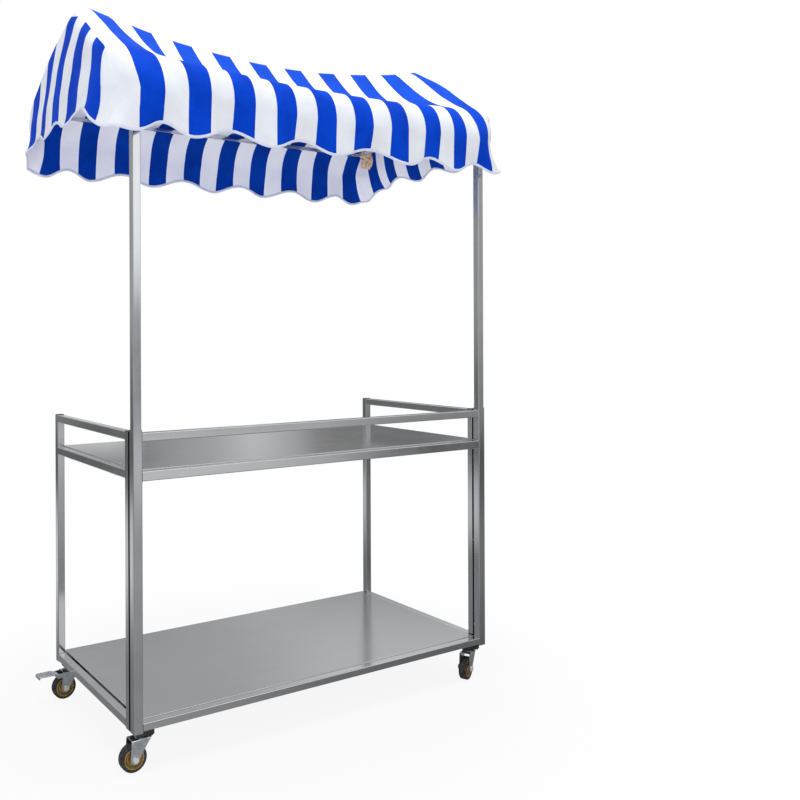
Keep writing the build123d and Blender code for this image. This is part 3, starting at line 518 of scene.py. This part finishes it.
def roofGrid(xs, flat, lower):  # the roof and both long skirts, rounded in towards the gables
    size, gable = canopySize, canopySize["gable"]
    rows = flat.shape[1]
    main = np.zeros((len(xs), rows, 3))
    for i, x in enumerate(xs):
        line = flat[i]
        sign = -1 if x < 0 else 1
        half = size["halfLengths"][sign]
        flare = gable["flare"] * lower ** gable["flarePower"][sign]
        moved = abs(x) + flare * ramp(abs(x), half - gable["flareOver"], gable["flareOver"])
        radius = cornerRadius(line[:, 1], sign)
        inside = np.clip(half + flare - moved, 0, None)
        angle = np.clip(1 - inside / radius, 0, 1) * math.pi / 4
        near = inside < radius
        sunk = np.where(near, radius - radius * np.cos(angle), 0.0)
        main[i, :, 0] = sign * np.where(near, half + flare - radius + radius * np.sin(angle), moved)
        main[i, :, 1:] = line - sectionNormals(line) * sunk[:, None]
        ridge = ridgeSlice(rows)
        main[i, ridge, 1:] = smallerCap(line[ridge], main[i, ridge, 1:])
    return main


def endGrid(sign, line, edge):  # one gable, between its hem and the roof's edge
    size, gable = canopySize, canopySize["gable"]
    rows, tall = len(line), size["skirtRows"] + size["roundRows"]
    wide = rows - 2 * (tall - 1)
    u = np.linspace(0, 1, wide)[:, None]
    v = np.linspace(0, 1, tall)[None, :]
    hemY, hemZ = (between(line[0, k], line[-1, k], u[:, 0]) for k in (0, 1))
    wave = np.cos(math.tau * (hemY + gable["waveShift"]) / gable["wavePitch"])
    inner = smooth((gable["waveTo"] - np.abs(hemY)) / gable["waveOver"])
    bottom = np.stack([hemY, hemZ + (gable["hemRise"] + gable["wave"] * wave) * inner], 1)
    top = line[tall - 1:rows - tall + 1]
    front, rear = line[:tall], line[::-1][:tall]
    wideShare, tallShare = u[..., None], v[..., None]
    corners = [between(front[k], rear[k], wideShare) for k in (0, -1)]
    patch = between(front[None], rear[None], wideShare) + between(bottom[:, None], top[:, None], tallShare)
    patch = patch - between(*corners, tallShare)
    flare = gable["flare"] + gable["belly"] * inner - gable["waveIn"] * wave * inner
    across = size["halfLengths"][sign] + flare[:, None] * (1 - v) ** gable["flarePower"][sign]
    normal = sectionNormals(line)
    grid = np.zeros((wide, tall, 3))
    for c, r in np.ndindex(wide, tall):
        point, x = patch[c, r], across[c, r]
        away = np.linalg.norm(line - point, axis=1)
        k = int(np.argmin(away))
        inside = max(0.0, float(np.dot(line[k] - point, normal[k])))
        radius = float(cornerRadius(line[k, 1], sign))
        if inside < radius and away[k] < radius * gable["reach"]:
            angle = (1 - inside / radius) * math.pi / 4
            x -= radius - radius * math.cos(angle)
            point = point + normal[k] * (inside - (radius - radius * math.sin(angle)))
        grid[c, r] = (sign * x, *point)
    peak = ridgeSlice(wide)
    for r in range(tall):
        grid[peak, r, 1:] = smallerCap(patch[peak, r], grid[peak, r, 1:])
    sewEdge(grid, edge)
    return grid, patch


def canopyGrids():
    size = canopySize
    xs = np.linspace(-size["halfLengths"][-1], size["halfLengths"][1], size["columns"])
    flat = np.array([wholeSection(x) for x in xs])  # column, row, (y, z)
    row = np.arange(flat.shape[1])
    sideRows = size["skirtRows"] + size["roundRows"]
    lower = np.clip(1 - np.minimum(row, row[::-1]) / (sideRows - 1), 0, 1)  # 1 at the hem, 0 on the roof
    main = roofGrid(xs, flat, lower)
    ends = {sign: endGrid(sign, flat[edge], main[edge]) for sign, edge in ((-1, 0), (1, -1))}
    for grid in (main, ends[-1][0]):
        grid[..., 0] -= looseEnd(grid)
    return xs, flat, main, ends, lower


def softWrinkles(point, low, shift):
    push = 0.0
    for axis, (fineness, depth, atHem) in enumerate(canopySize["wrinkles"]["layers"]):
        spot = [p * f for p, f in zip(Vector(point), fineness)]
        spot[axis] += shift
        push += noise.noise(Vector(spot)) * depth * (low if atHem else 1.0)
    return push


def wrinkleRoof(main, xs, lower):
    wrinkle = canopySize["wrinkles"]
    away = ((np.abs(main[..., 1]) - wrinkle["barY"]) / wrinkle["barYReach"]) ** 2
    away += ((main[..., 2] - wrinkle["barZ"]) / wrinkle["barZReach"]) ** 2
    free = 1 - wrinkle["barHold"] * np.exp(-away)  # the eave bars and the gables' seams hold the cloth
    free *= smooth(np.minimum(xs - xs[0], xs[-1] - xs) / wrinkle["edgeOver"])[:, None]
    normals = gridNormals(main)
    for i, j in np.ndindex(free.shape):
        main[i, j] += normals[i, j] * softWrinkles(main[i, j], lower[j], wrinkle["roofShift"]) * free[i, j]


def stripePlaces(xs, flat):  # how far along the cut each point of the roof lies
    stripes = canopySize["stripes"]
    rows = flat.shape[1]
    past = smooth((np.arange(rows) / (rows - 1) - 0.5) * 2)  # 0 to the ridge, 1 at the rear hem
    outward = np.minimum(np.abs(xs) / stripes["skewReach"], 1.0) ** 2
    skew = between(stripes["rearSkew"], stripes["rearSkewEnd"], outward)
    gathered = stripes["squeeze"] * np.maximum(xs - stripes["squeezeFrom"], 0)  # at the front's right end
    places = (xs - stripes["start"])[:, None] + skew[:, None] * past[None, :]
    return places + gathered[:, None] * smooth(-flat[..., 0] / stripes["squeezeReach"])


def mappedMesh(name, verts, faces, cuts, *materials):  # a smooth mesh with its cut as a map
    mesh = bpy.data.meshes.new(name)
    mesh.from_pydata(verts, [], [[int(k) for k in face] for face in faces])
    mesh.uv_layers.new(name="cut").data.foreach_set("uv", np.array(cuts, np.float32).ravel())
    mesh.polygons.foreach_set("use_smooth", [True] * len(mesh.polygons))
    for material in materials:
        mesh.materials.append(material)
    mesh.update()
    return mesh


def squares(wide, tall):  # the corners of every square of a grid
    for a, b in np.ndindex(wide - 1, tall - 1):
        yield [(a, b), (a + 1, b), (a + 1, b + 1), (a, b + 1)]


def buildCanopy():
    stripes, wrinkle = canopySize["stripes"], canopySize["wrinkles"]
    xs, flat, main, ends, lower = canopyGrids()
    columns, rows = main.shape[:2]
    wrinkleRoof(main, xs, lower)
    verts = [tuple(p) for p in main.reshape(-1, 3)]
    index = np.arange(columns * rows).reshape(columns, rows)
    length = np.array([runLength(line) for line in flat])
    places = stripePlaces(xs, flat)
    faces, cuts, seams = [], [], []
    for ring in squares(columns, rows):
        faces.append([index[p] for p in ring])
        cuts += [(places[p], length[p]) for p in ring]
        seams += [1.0] * len(ring)
    for sign, (grid, patch) in ends.items():
        wide, tall = grid.shape[:2]
        own = np.zeros((wide, tall), int)
        sewEdge(own, index[0 if sign < 0 else -1])
        for c in range(1, wide - 1):
            for r in range(tall - 1):
                guard = min(1.0, min(c, wide - 1 - c, tall - 1 - r) / wrinkle["endRows"])
                push = softWrinkles(grid[c, r], 1 - r / (tall - 1), wrinkle["endShift"])
                grid[c, r, 0] += sign * push * guard
                own[c, r] = len(verts)
                verts.append(tuple(grid[c, r]))
        nearRidge = np.exp(-(patch[:, -1, 0] / stripes["ridgeLapReach"]) ** 2)
        lap = stripes["lap"] + stripes["ridgeLap"] * nearRidge
        below = patch[:, -1:, 1] - patch[..., 1] - lap[:, None]
        for ring in squares(wide, tall):
            ring = ring[::sign]
            faces.append([own[p] for p in ring])
            cuts += [(tableAt(stripes["ends"][sign], patch[p][0]), patch[p][1]) for p in ring]
            seams += [below[p] for p in ring]
    mesh = mappedMesh("canopyCloth", verts, faces, cuts, cloth, paintedInside)
    mesh.attributes.new("seam", "FLOAT", "CORNER").data.foreach_set("value", seams)
    return mesh, main, ends


def linkPiece(name, mesh):
    piece = bpy.data.objects.new(name, mesh)
    scene.collection.objects.link(piece)
    return piece


def plainMesh(piece):  # the evaluated piece as a mesh with no modifiers left
    graph = bpy.context.evaluated_depsgraph_get()
    mesh = bpy.data.meshes.new_from_object(piece.evaluated_get(graph))
    piece.modifiers.clear()
    old = piece.data
    piece.data = mesh
    bpy.data.meshes.remove(old)
    return piece


clothSheet, clothMain, clothEnds = buildCanopy()
clothPiece = linkPiece("canopyCloth", clothSheet)
thick = clothPiece.modifiers.new("thickness", "SOLIDIFY")
thick.thickness = canopySize["thickness"]
thick.offset = 0.0
thick.use_even_offset = False
thick.material_offset = 1  # the inside gets the cloth's copy with painted shade and painted glow
plainMesh(clothPiece)


# Hem binding: a folded tape over the whole hem
tapeSize = {"width": 0.0065, "clear": 0.0007, "thickness": 0.0007, "below": 0.0012, "fold": 0.0005,
            "stitchIn": 0.0022, "stitchOut": 0.0001, "rowsUp": 8}


def hemColumns():  # the cloth's columns from the hem up, once round the canopy
    left, right = clothEnds[-1][0], clothEnds[1][0]
    columns = [*clothMain, *right[1:], *clothMain[-2::-1, ::-1], *left[-2:0:-1]]
    return np.array([column[:tapeSize["rowsUp"]] for column in columns])


def upTheColumn(column, distance):
    run = runLength(column)
    if distance < 0:
        return column[0] + (column[1] - column[0]) / run[1] * distance
    return np.array([np.interp(distance, run, column[:, k]) for k in range(3)])


def stripMesh(name, strips, material, closed):  # rings of points joined into tubes
    lastSide = 0.001  # of the section, in the map
    verts, faces, cuts = [], [], []
    for rings in strips:
        start = len(verts)
        verts += [tuple(p) for p in rings.reshape(-1, 3)]
        count, around = rings.shape[:2]
        run, girth = runLength(rings[:, 0]), runLength(rings[0])
        for i in range(count if closed else count - 1):
            n = (i + 1) % count
            runEnd = run[n] if n else run[i] + np.linalg.norm(rings[0, 0] - rings[i, 0])
            here, there = start + i * around, start + n * around
            for k in range(around):
                m = (k + 1) % around
                faces.append((here + k, there + k, there + m, here + m))
                sideEnd = girth[m] if m else girth[k] + lastSide
                cuts += [(run[i], girth[k]), (runEnd, girth[k]), (runEnd, sideEnd), (run[i], sideEnd)]
        if not closed:
            faces.append(range(start, start + around))
            faces.append(range(len(verts) - 1, len(verts) - 1 - around, -1))
            cuts += [(0.0, side) for side in girth] * 2
    mesh = mappedMesh(name, verts, faces, cuts, material)
    work = bmesh.new()
    work.from_mesh(mesh)
    bmesh.ops.recalc_face_normals(work, faces=work.faces)
    work.to_mesh(mesh)
    work.free()
    return mesh


def buildTape():
    size = tapeSize
    columns = hemColumns()
    width, fold = size["width"], size["fold"]
    inner, outer = size["clear"], size["clear"] + size["thickness"]
    profile = ((width, inner), (width, outer), (width / 2, outer), (0.0, outer), (-size["below"], 0.0),
               (0.0, -outer), (width / 2, -outer), (width, -outer), (width, -inner), (fold, -inner),
               (fold, inner))
    hem = np.array([upTheColumn(c, 0.0) for c in columns])
    upper = np.array([upTheColumn(c, width) for c in columns])
    normal = unit(np.cross(np.roll(hem, -1, 0) - np.roll(hem, 1, 0), upper - hem))
    rings = np.array([[upTheColumn(c, distance) + n * away for distance, away in profile]
                      for c, n in zip(columns, normal)])
    seamLine = np.array([upTheColumn(c, width - size["stitchIn"]) for c in columns])
    proud = outer + size["stitchOut"]
    seams = [[tuple(p) for p in seamLine + normal * away] for away in (proud, -proud)]
    return stripMesh("hemTape", [rings], tape, True), seams


tapeMesh, hemSeams = buildTape()
tapePiece = linkPiece("hemTape", tapeMesh)
print("hem tape:", len(tapeMesh.polygons), "faces")


# Beads along a path: sewing stitches and weld ripples come from one tree
def beadTree(name):
    tree = bpy.data.node_groups.new(name, "GeometryNodeTree")
    inputs = {}
    for label, kind in (("Geometry", "Geometry"), ("Spacing", "Float"), ("Bead Size", "Vector"),
                        ("Unevenness", "Float"), ("Seed", "Int"), ("Finish", "Material")):
        socket = tree.interface.new_socket(label, in_out="INPUT", socket_type="NodeSocket" + kind)
        inputs[label] = socket.identifier
    tree.interface.new_socket("Geometry", in_out="OUTPUT", socket_type="NodeSocketGeometry")
    grower = Grower(tree)
    start = grower.add("NodeGroupInput")
    path = grower.add("GeometryNodeMeshToCurve", {}, {"Mesh": start})
    points = grower.add("GeometryNodeCurveToPoints", {"mode": "LENGTH"},
                        {"Curve": path, "Length": start.beside("Spacing")}, out="Points")
    bead = grower.add("GeometryNodeMeshUVSphere", {}, {"Segments": 6, "Rings": 5, "Radius": 1.0}, out="Mesh")
    uneven = start.beside("Unevenness")
    spread = grower.add("FunctionNodeRandomValue", {"data_type": "FLOAT"},
                        {2: 1 - uneven, 3: 1 + uneven, "Seed": start.beside("Seed")}, out=1)
    size = grower.add("ShaderNodeVectorMath", {"operation": "SCALE"},
                      {0: start.beside("Bead Size"), "Scale": spread})
    placed = grower.add("GeometryNodeInstanceOnPoints", {}, {
        "Points": points, "Rotation": points.beside("Rotation"), "Instance": bead, "Scale": size})
    real = grower.add("GeometryNodeRealizeInstances", {}, {"Geometry": placed})
    shade = grower.add("GeometryNodeSetShadeSmooth", {}, {"Geometry": real})
    done = grower.add("GeometryNodeSetMaterial", {}, {"Geometry": shade, "Material": start.beside("Finish")})
    end = tree.nodes.new("NodeGroupOutput")
    tree.links.new(done.socket, end.inputs["Geometry"])
    return tree, inputs


beadRun, beadInputs = beadTree("beadRun")


def beadPiece(name, paths, values):  # paths are lists of points; a closed one repeats its first point
    verts, edges = [], []
    for path in paths:
        start = len(verts)
        verts += [tuple(p) for p in path]
        edges += [(start + k, start + k + 1) for k in range(len(path) - 1)]
    mesh = bpy.data.meshes.new(name)
    mesh.from_pydata(verts, edges, [])
    piece = linkPiece(name, mesh)
    modifier = piece.modifiers.new("beads", "NODES")
    modifier.node_group = beadRun
    for label, value in values.items():
        modifier[beadInputs[label]] = value
    return plainMesh(piece)


stitchSize = {"Spacing": 0.0042, "Bead Size": (0.00032, 0.00032, 0.00155), "Unevenness": 0.10, "Seed": 5,
              "Finish": thread}
hemStitches = beadPiece("hemStitches", [seam + [seam[0]] for seam in hemSeams], stitchSize)
print("hem stitches:", len(hemStitches.data.polygons), "faces")


# Weld runs where the tubes meet
weldSize = {"Spacing": 0.0016, "Bead Size": (0.0011, 0.0011, 0.0012), "Unevenness": 0.18, "Seed": 11,
            "Finish": weld}
eaveWeldSize = {**weldSize, "Bead Size": (0.0009, 0.0009, 0.001)}
weldPlace = {"back": 0.0003, "proud": 0.0002, "inset": 0.0018}
topAndBottom, allRound = ("z+", "z-"), ("z+", "z-", "y+", "y-")
endRails = {"hand_rail": ("z-",), "counter_rail": topAndBottom, "base_rail": topAndBottom}
frameWelds = {  # the tubes' edges that are welded
    **{f"{side}_{rail}": edges for side in ("left", "right") for rail, edges in endRails.items()},
    "front_hand_rail": allRound, "front_counter_rail": topAndBottom, "front_base_rail": topAndBottom,
}
canopyWelds = {"front_eave_bar": allRound, "rear_eave_bar": allRound}


def crossEdges(tube, edges):  # the lines where a tube's two ends meet what they are welded to
    low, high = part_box(tube)
    k = 1 if tube.startswith(("left", "right")) else 0  # the tube's own direction
    lines = []
    for end, place in ((-1, low[k]), (1, high[k])):
        for edge in edges:  # such as "z+" for the tube's top
            n = "xyz".index(edge[0])
            m = 3 - k - n
            first, last = Vector(), Vector()
            for point, side in ((first, low), (last, high)):
                point[k] = place - end * weldPlace["back"]
                point[n] = high[n] + weldPlace["proud"] if edge[1] == "+" else low[n] - weldPlace["proud"]
                point[m] = side[m]
            inset = (last - first).normalized() * weldPlace["inset"]
            lines.append([tuple(first + inset), tuple(last - inset)])
    return lines


def weldPiece(name, welds, size):
    lines = [line for tube, edges in welds.items() for line in crossEdges(tube, edges)]
    return beadPiece(name, lines, size)


frameWeldPiece = weldPiece("frameWelds", frameWelds, weldSize)
canopyWeldPiece = weldPiece("canopyWelds", canopyWelds, eaveWeldSize)
print("welds:", len(frameWeldPiece.data.polygons) + len(canopyWeldPiece.data.polygons), "faces")


# Ribbon ties at the rear corners
ribbonSize = {
    "width": 0.014, "thickness": 0.0007, "gap": 0.0012, "braceHalf": 0.006, "wrapIn": 0.030, "wrapTurns": 16,
    "wrapSquare": 0.72, "knotDrop": 0.0035, "knotWidth": 0.010, "knotThickness": 0.0022, "crown": 1.3,
    "knot": ((-0.006, 0.002), (-0.004, -0.003), (0.0, -0.0045), (0.004, -0.003), (0.006, 0.002)),
    "hang": 0.020, "aside": 0.0105, "layer": 0.0024, "lowLayer": 2, "bow": 0.004, "leans": (-0.35, 0.25),
    "across": (0.852, -0.523, 0), "toward": (-0.523, -0.852, 0),
    "straps": (  # width, and points across and up from the knot, in millimetres
        (20, ((0, 14), (2, 0), (1, -14), (0, -28))), (18, ((6, 16), (9, 2), (9, -14), (6, -30))),
        (16, ((-2, 14), (-8, 2), (-11, -12), (-8, -27))), (11, ((15, 22), (19, 8), (19, -6), (14, -22))),
        (9, ((12, 18), (2, 6), (-9, -8), (-17, -24))), (8, ((-16, 20), (-6, 10), (6, 2), (18, -6))),
        (8, ((-22, 12), (-8, 16), (6, 18), (16, 26)))),
}
millimetre = 0.001


def ribbonStrip(points, across, width, thickness, steps):  # a flat strip along a smooth line
    line, sides = [], []
    for i in range(len(points) - 1):
        before, after = points[max(i - 1, 0)], points[min(i + 2, len(points) - 1)]
        for s in range(steps):
            t = s / steps
            line.append(0.5 * ((2 * points[i]) + (points[i + 1] - before) * t
                               + (2 * before - 5 * points[i] + 4 * points[i + 1] - after) * t * t
                               + (3 * points[i] - before - 3 * points[i + 1] + after) * t ** 3))
            sides.append(across[i].lerp(across[i + 1], t))
    line.append(points[-1])
    sides.append(across[-1])
    crown = ribbonSize["crown"]
    rings = []
    for i, point in enumerate(line):
        tangent = (line[min(i + 1, len(line) - 1)] - line[max(i - 1, 0)]).normalized()
        side = (sides[i] - tangent * sides[i].dot(tangent)).normalized()
        normal = tangent.cross(side)
        rings.append([tuple(point + side * width / 2 * a + normal * thickness / 2 * b)
                      for a, b in ((-1, -1), (0, -crown), (1, -1), (1, 1), (0, crown), (-1, 1))])
    return np.array(rings)


def ribbonWrap(middle, upward):  # round the brace, with a knot under it
    size = ribbonSize
    along, side = Vector((0, 1, 0)), Vector((1, 0, 0))
    reach = size["braceHalf"] + size["gap"]
    loop = []
    for k in range(size["wrapTurns"] + 1):
        angle = math.tau * k / size["wrapTurns"] - math.pi / 2
        c, s = math.cos(angle), math.sin(angle)
        square = 1 / max(abs(c), abs(s)) ** size["wrapSquare"]
        loop.append(middle + side * c * reach * square + upward * s * reach * square)
    knot = middle - upward * (reach + size["knotDrop"])
    pad = [knot + Vector((dx, 0, dz)) for dx, dz in size["knot"]]
    return [ribbonStrip(loop, [along] * len(loop), size["width"], size["thickness"], steps=3),
            ribbonStrip(pad, [along] * len(pad), size["knotWidth"], size["knotThickness"], steps=4)]


def ribbonBunch(bunch, upward):
    size = ribbonSize
    across, toward = Vector(size["across"]), Vector(size["toward"])
    strips = []
    for layer, (wide, line) in enumerate(size["straps"]):
        points, sides = [], []
        for k, (right, up) in enumerate(line):
            before, after = line[max(k - 1, 0)], line[min(k + 1, len(line) - 1)]
            step = across * (after[0] - before[0]) + upward * (after[1] - before[1])
            bow = size["bow"] * math.sin(math.pi * k / (len(line) - 1))
            bulge = size["layer"] * (layer - size["lowLayer"]) + bow
            points.append(bunch + across * right * millimetre + upward * up * millimetre + toward * bulge)
            lean = toward * size["leans"][(k + layer) % 2]
            sides.append((step.normalized().cross(toward) + lean).normalized())
        strips.append(ribbonStrip(points, sides, wide * millimetre, size["thickness"], steps=6))
    return strips


def buildRibbons():
    size = ribbonSize
    upward = Vector((0, 0, 1))
    strips = []
    for brace in ("left_brace", "right_brace"):
        low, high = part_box(brace)
        middle = Vector(((low.x + high.x) / 2, high.y - size["wrapIn"], (low.z + high.z) / 2))
        strips += ribbonWrap(middle, upward)
    # only the right brace, the last one, has a loose bunch
    bunch = Vector((middle.x + size["aside"], middle.y, low.z - size["hang"]))
    return stripMesh("cornerRibbons", strips + ribbonBunch(bunch, upward), ribbonCloth, False)


ribbonPiece = linkPiece("cornerRibbons", buildRibbons())


# Stage: pale floor, white world, soft lamps
floorLook = {"reach": 9.0, "light": (0.90, 0.90, 0.90, 1), "dark": (0.86, 0.86, 0.86, 1), "speck": 3.0,
             "shadow": 0.1, "shadowFade": (0.6, 1.5)}
worldLook = {"white": (1, 1, 1, 1), "shown": 1.0, "light": 0.53}
lamps = {
    "overhead": {"place": (0.2, -0.3, 4.6), "target": (0, 0, 1.0), "size": (3.6, 3.0), "watts": 120},
    "leftFill": {"place": (-3.6, -0.4, 1.9), "target": (-0.65, 0, 1.8), "size": (1.6, 1.2), "watts": 12},
    "lowFill": {"place": (-2.0, -4.0, 0.55), "target": (0.1, 0.2, 1.65), "size": (2.4, 0.8), "watts": 40},
}


def stageFloor():
    look = floorLook
    corners = [(x * look["reach"], y * look["reach"], 0) for x, y in ((-1, -1), (1, -1), (1, 1), (-1, 1))]
    mesh = bpy.data.meshes.new("floor")
    mesh.from_pydata(corners, [], [(0, 1, 2, 3)])
    paint = newPaint("paleFloor")
    base = paint.tint(paint.spots(look["speck"]), look)
    diffuse = paint.add("ShaderNodeBsdfDiffuse", {}, {"Color": base})
    glow = paint.add("ShaderNodeEmission", {}, {"Color": worldLook["white"], "Strength": worldLook["shown"]})
    away = paint.add("ShaderNodeVectorMath", {"operation": "LENGTH"}, {0: paint.place()}, out="Value")
    # the shadow under the cart fades into white
    bare = away.fade(*look["shadowFade"]) * look["shadow"] + (1 - look["shadow"])
    seen = paint.add("ShaderNodeLightPath", out="Is Camera Ray") * bare
    mesh.materials.append(paint.cover(paint.add("ShaderNodeMixShader", {}, {0: seen, 1: diffuse, 2: glow})))
    floor = linkPiece("floor", mesh)


def stageWorld():
    look = worldLook
    scene.world = bpy.data.worlds.new("studio")
    paint = Paint(scene.world, "ShaderNodeOutputWorld")
    camera = paint.add("ShaderNodeLightPath", out="Is Camera Ray")
    dim, shown = (paint.add("ShaderNodeBackground", {}, {"Color": look["white"], "Strength": look[key]})
                  for key in ("light", "shown"))
    seen = camera.larger(camera.beside("Is Glossy Ray")).larger(camera.beside("Is Transmission Ray"))
    paint.cover(paint.add("ShaderNodeMixShader", {}, {0: seen, 1: dim, 2: shown}))


def softLamp(name, look):
    lamp = bpy.data.lights.new(name, "AREA")
    lamp.shape = "RECTANGLE"
    lamp.size, lamp.size_y = look["size"]
    lamp.energy = look["watts"]
    holder = linkPiece(name, lamp)
    holder.location = look["place"]
    aim = Vector(look["target"]) - Vector(look["place"])
    holder.rotation_euler = aim.to_track_quat("-Z", "Y").to_euler()
    holder.visible_glossy = False  # no lamp mirrors in the steel


# Tones round the cart that only mirror in the steel, by compass direction clockwise from the back
wallTones = {
    "radius": 8.0, "floorLift": 0.002, "turnStep": 1.5,
    "reaches": (0.02, 0.4, 0.7, 1.0, 1.4, 1.8, 2.2, 2.6, 3.2, 3.8, 4.6, 6.0),
    "rises": (0.5, 3, 5, 7, 9, 10, 11, 11.8, 12.6, 13.4, 14.5, 16, 18, 20, 28, 36, 46, 60, 75, 89),
    "nearFloor": ((-0.7, 0.42), (-0.35, 0.37), (0.2, 0.2), (0.62, 0.17), (1.5, 0.15)), "nearBack": 0.25,
    "frontZone": (0.2, 0.2), "middleZone": (0.8, 1.0), "farZone": (2.6, 2.0),
    "middleFloor": ((0, 0.3), (110, 0.2), (135, 0.28), (150, 0.42), (165, 0.48), (200, 0.45), (250, 0.4),
                    (300, 0.5), (316, 0.8), (334, 0.85), (346, 0.5), (360, 0.3)),
    "farFloor": ((0, 0.25), (112, 0.15), (138, 0.14), (147, 0.62), (157, 0.8), (168, 0.8), (180, 0.5),
                 (200, 0.45), (230, 0.3), (300, 0.2), (340, 0.15), (360, 0.25)),
    "low": ((0, 0.5), (8, 0.6), (12, 1.0), (18.5, 1.0), (21, 0.3), (27, 0.44), (30.5, 0.62), (34, 0.42),
            (36.5, 0.2), (46, 0.16), (58, 0.5), (85, 0.85), (112, 0.5), (134, 0.34), (146, 0.6), (157, 0.4),
            (172, 0.45), (200, 0.5), (225, 0.45), (250, 0.75), (285, 0.55), (305, 0.3), (322, 0.18),
            (335, 0.2), (345, 0.4), (360, 0.5)),
    "middle": ((0, 0.6), (20, 0.5), (30, 0.52), (38, 0.75), (50, 0.75), (70, 0.6), (110, 0.45), (134, 0.5),
               (142, 0.9), (150, 1.4), (165, 1.5), (172, 0.8), (180, 0.6), (200, 0.55), (225, 0.5),
               (250, 0.8), (290, 0.6), (310, 0.45), (340, 0.5), (360, 0.6)),
    "changeAt": ((0, 13), (60, 13), (90, 3), (140, 3), (148, 8), (172, 8), (180, 3), (350, 3), (360, 13)),
    "changeOver": 7, "top": 1.0, "topZone": (30, 15), "band": ((0, 0), (5, 1), (19, 1), (23, 0), (360, 0)),
    "bandTone": 0.2, "bandStart": (11.6, 1.8), "bandEnd": (16, 4),
}


def floorTone(x, y, turn, reach):
    look = wallTones
    tone = look["nearBack"]
    tone += (tableAt(look["nearFloor"], x) - tone) * ramp(-y, *look["frontZone"])
    tone += (tableAt(look["middleFloor"], turn) - tone) * ramp(reach, *look["middleZone"])
    return tone + (tableAt(look["farFloor"], turn) - tone) * ramp(reach, *look["farZone"])


def wallTone(turn, rise):
    look = wallTones
    tone = tableAt(look["low"], turn)
    change = ramp(rise, tableAt(look["changeAt"], turn), look["changeOver"])
    tone += (tableAt(look["middle"], turn) - tone) * change
    band = tableAt(look["band"], turn) * ramp(rise, *look["bandStart"]) * (1 - ramp(rise, *look["bandEnd"]))
    tone += (look["bandTone"] - tone) * band
    return tone + (look["top"] - tone) * ramp(rise, *look["topZone"])


def toneWall():
    look = wallTones
    turns = np.arange(0, 360, look["turnStep"])
    compass = [(turn, math.sin(math.radians(turn)), math.cos(math.radians(turn))) for turn in turns]
    verts, tones = [], []
    for reach in (*look["reaches"], look["radius"]):
        for turn, east, north in compass:
            verts.append((reach * east, reach * north, look["floorLift"]))
            tones.append(float(floorTone(reach * east, reach * north, turn, reach)))
    for rise in look["rises"]:
        level, up = (look["radius"] * f(math.radians(rise)) for f in (math.cos, math.sin))
        for turn, east, north in compass:
            verts.append((level * east, level * north, up))
            tones.append(float(wallTone(turn, rise)))
    count = len(turns)
    faces = [(k + i, k + (i + 1) % count, k + count + (i + 1) % count, k + count + i)
             for k in range(0, len(verts) - count, count) for i in range(count)]
    mesh = bpy.data.meshes.new("toneWall")
    mesh.from_pydata(verts, [], faces)
    mesh.attributes.new("tone", "FLOAT", "POINT").data.foreach_set("value", tones)
    paint = newPaint("toneWall")
    tone = paint.add("ShaderNodeAttribute", {"attribute_name": "tone"}, out="Fac")
    glow = paint.add("ShaderNodeEmission", {}, {"Color": tone, "Strength": 1.0})
    mesh.materials.append(paint.cover(glow))
    wall = linkPiece("toneWall", mesh)
    for ray in ("camera", "diffuse", "shadow", "transmission"):
        setattr(wall, "visible_" + ray, False)


stageFloor()
stageWorld()
for lampName, lampLook in lamps.items():
    softLamp(lampName, lampLook)
toneWall()
print("stage:", len(lamps), "lamps")


# Camera at the photograph's place
cameraView = {"place": (-1.4543, -2.3331, 1.0948), "forward": (0.5233, 0.8522, 0.0), "roll": 0.0038,
              "sensor": 36.0, "lens": 39.515, "shiftX": 0.169, "shiftY": -0.083, "clipEnd": 60.0}


def placeCamera():
    view = cameraView
    data = bpy.data.cameras.new("camera")
    data.sensor_width = view["sensor"]
    data.lens = view["lens"]
    data.shift_x = view["shiftX"]
    data.shift_y = view["shiftY"]
    data.clip_end = view["clipEnd"]
    forward = Vector(view["forward"]).normalized()
    level = forward.cross(Vector((0, 0, 1))).normalized()
    upright = level.cross(forward)
    c, s = math.cos(view["roll"]), math.sin(view["roll"])
    turn = Matrix((level * c - upright * s, upright * c + level * s, -forward)).transposed().to_4x4()
    scene.camera = linkPiece("camera", data)
    scene.camera.matrix_world = Matrix.Translation(view["place"]) @ turn


placeCamera()
print("camera placed")

# Which body each piece rides on, and what it stands for
for piece, body, slot in ((clothPiece, "canopy", "canopy_cloth"), (tapePiece, "canopy", "canopy_cloth"),
                          (hemStitches, "canopy", "canopy_cloth"), (canopyWeldPiece, "canopy", "stainless"),
                          (frameWeldPiece, "frame", "stainless"), (ribbonPiece, "canopy", "ribbon")):
    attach(piece, body)
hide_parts("canopy_cover")
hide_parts("corner_ties")
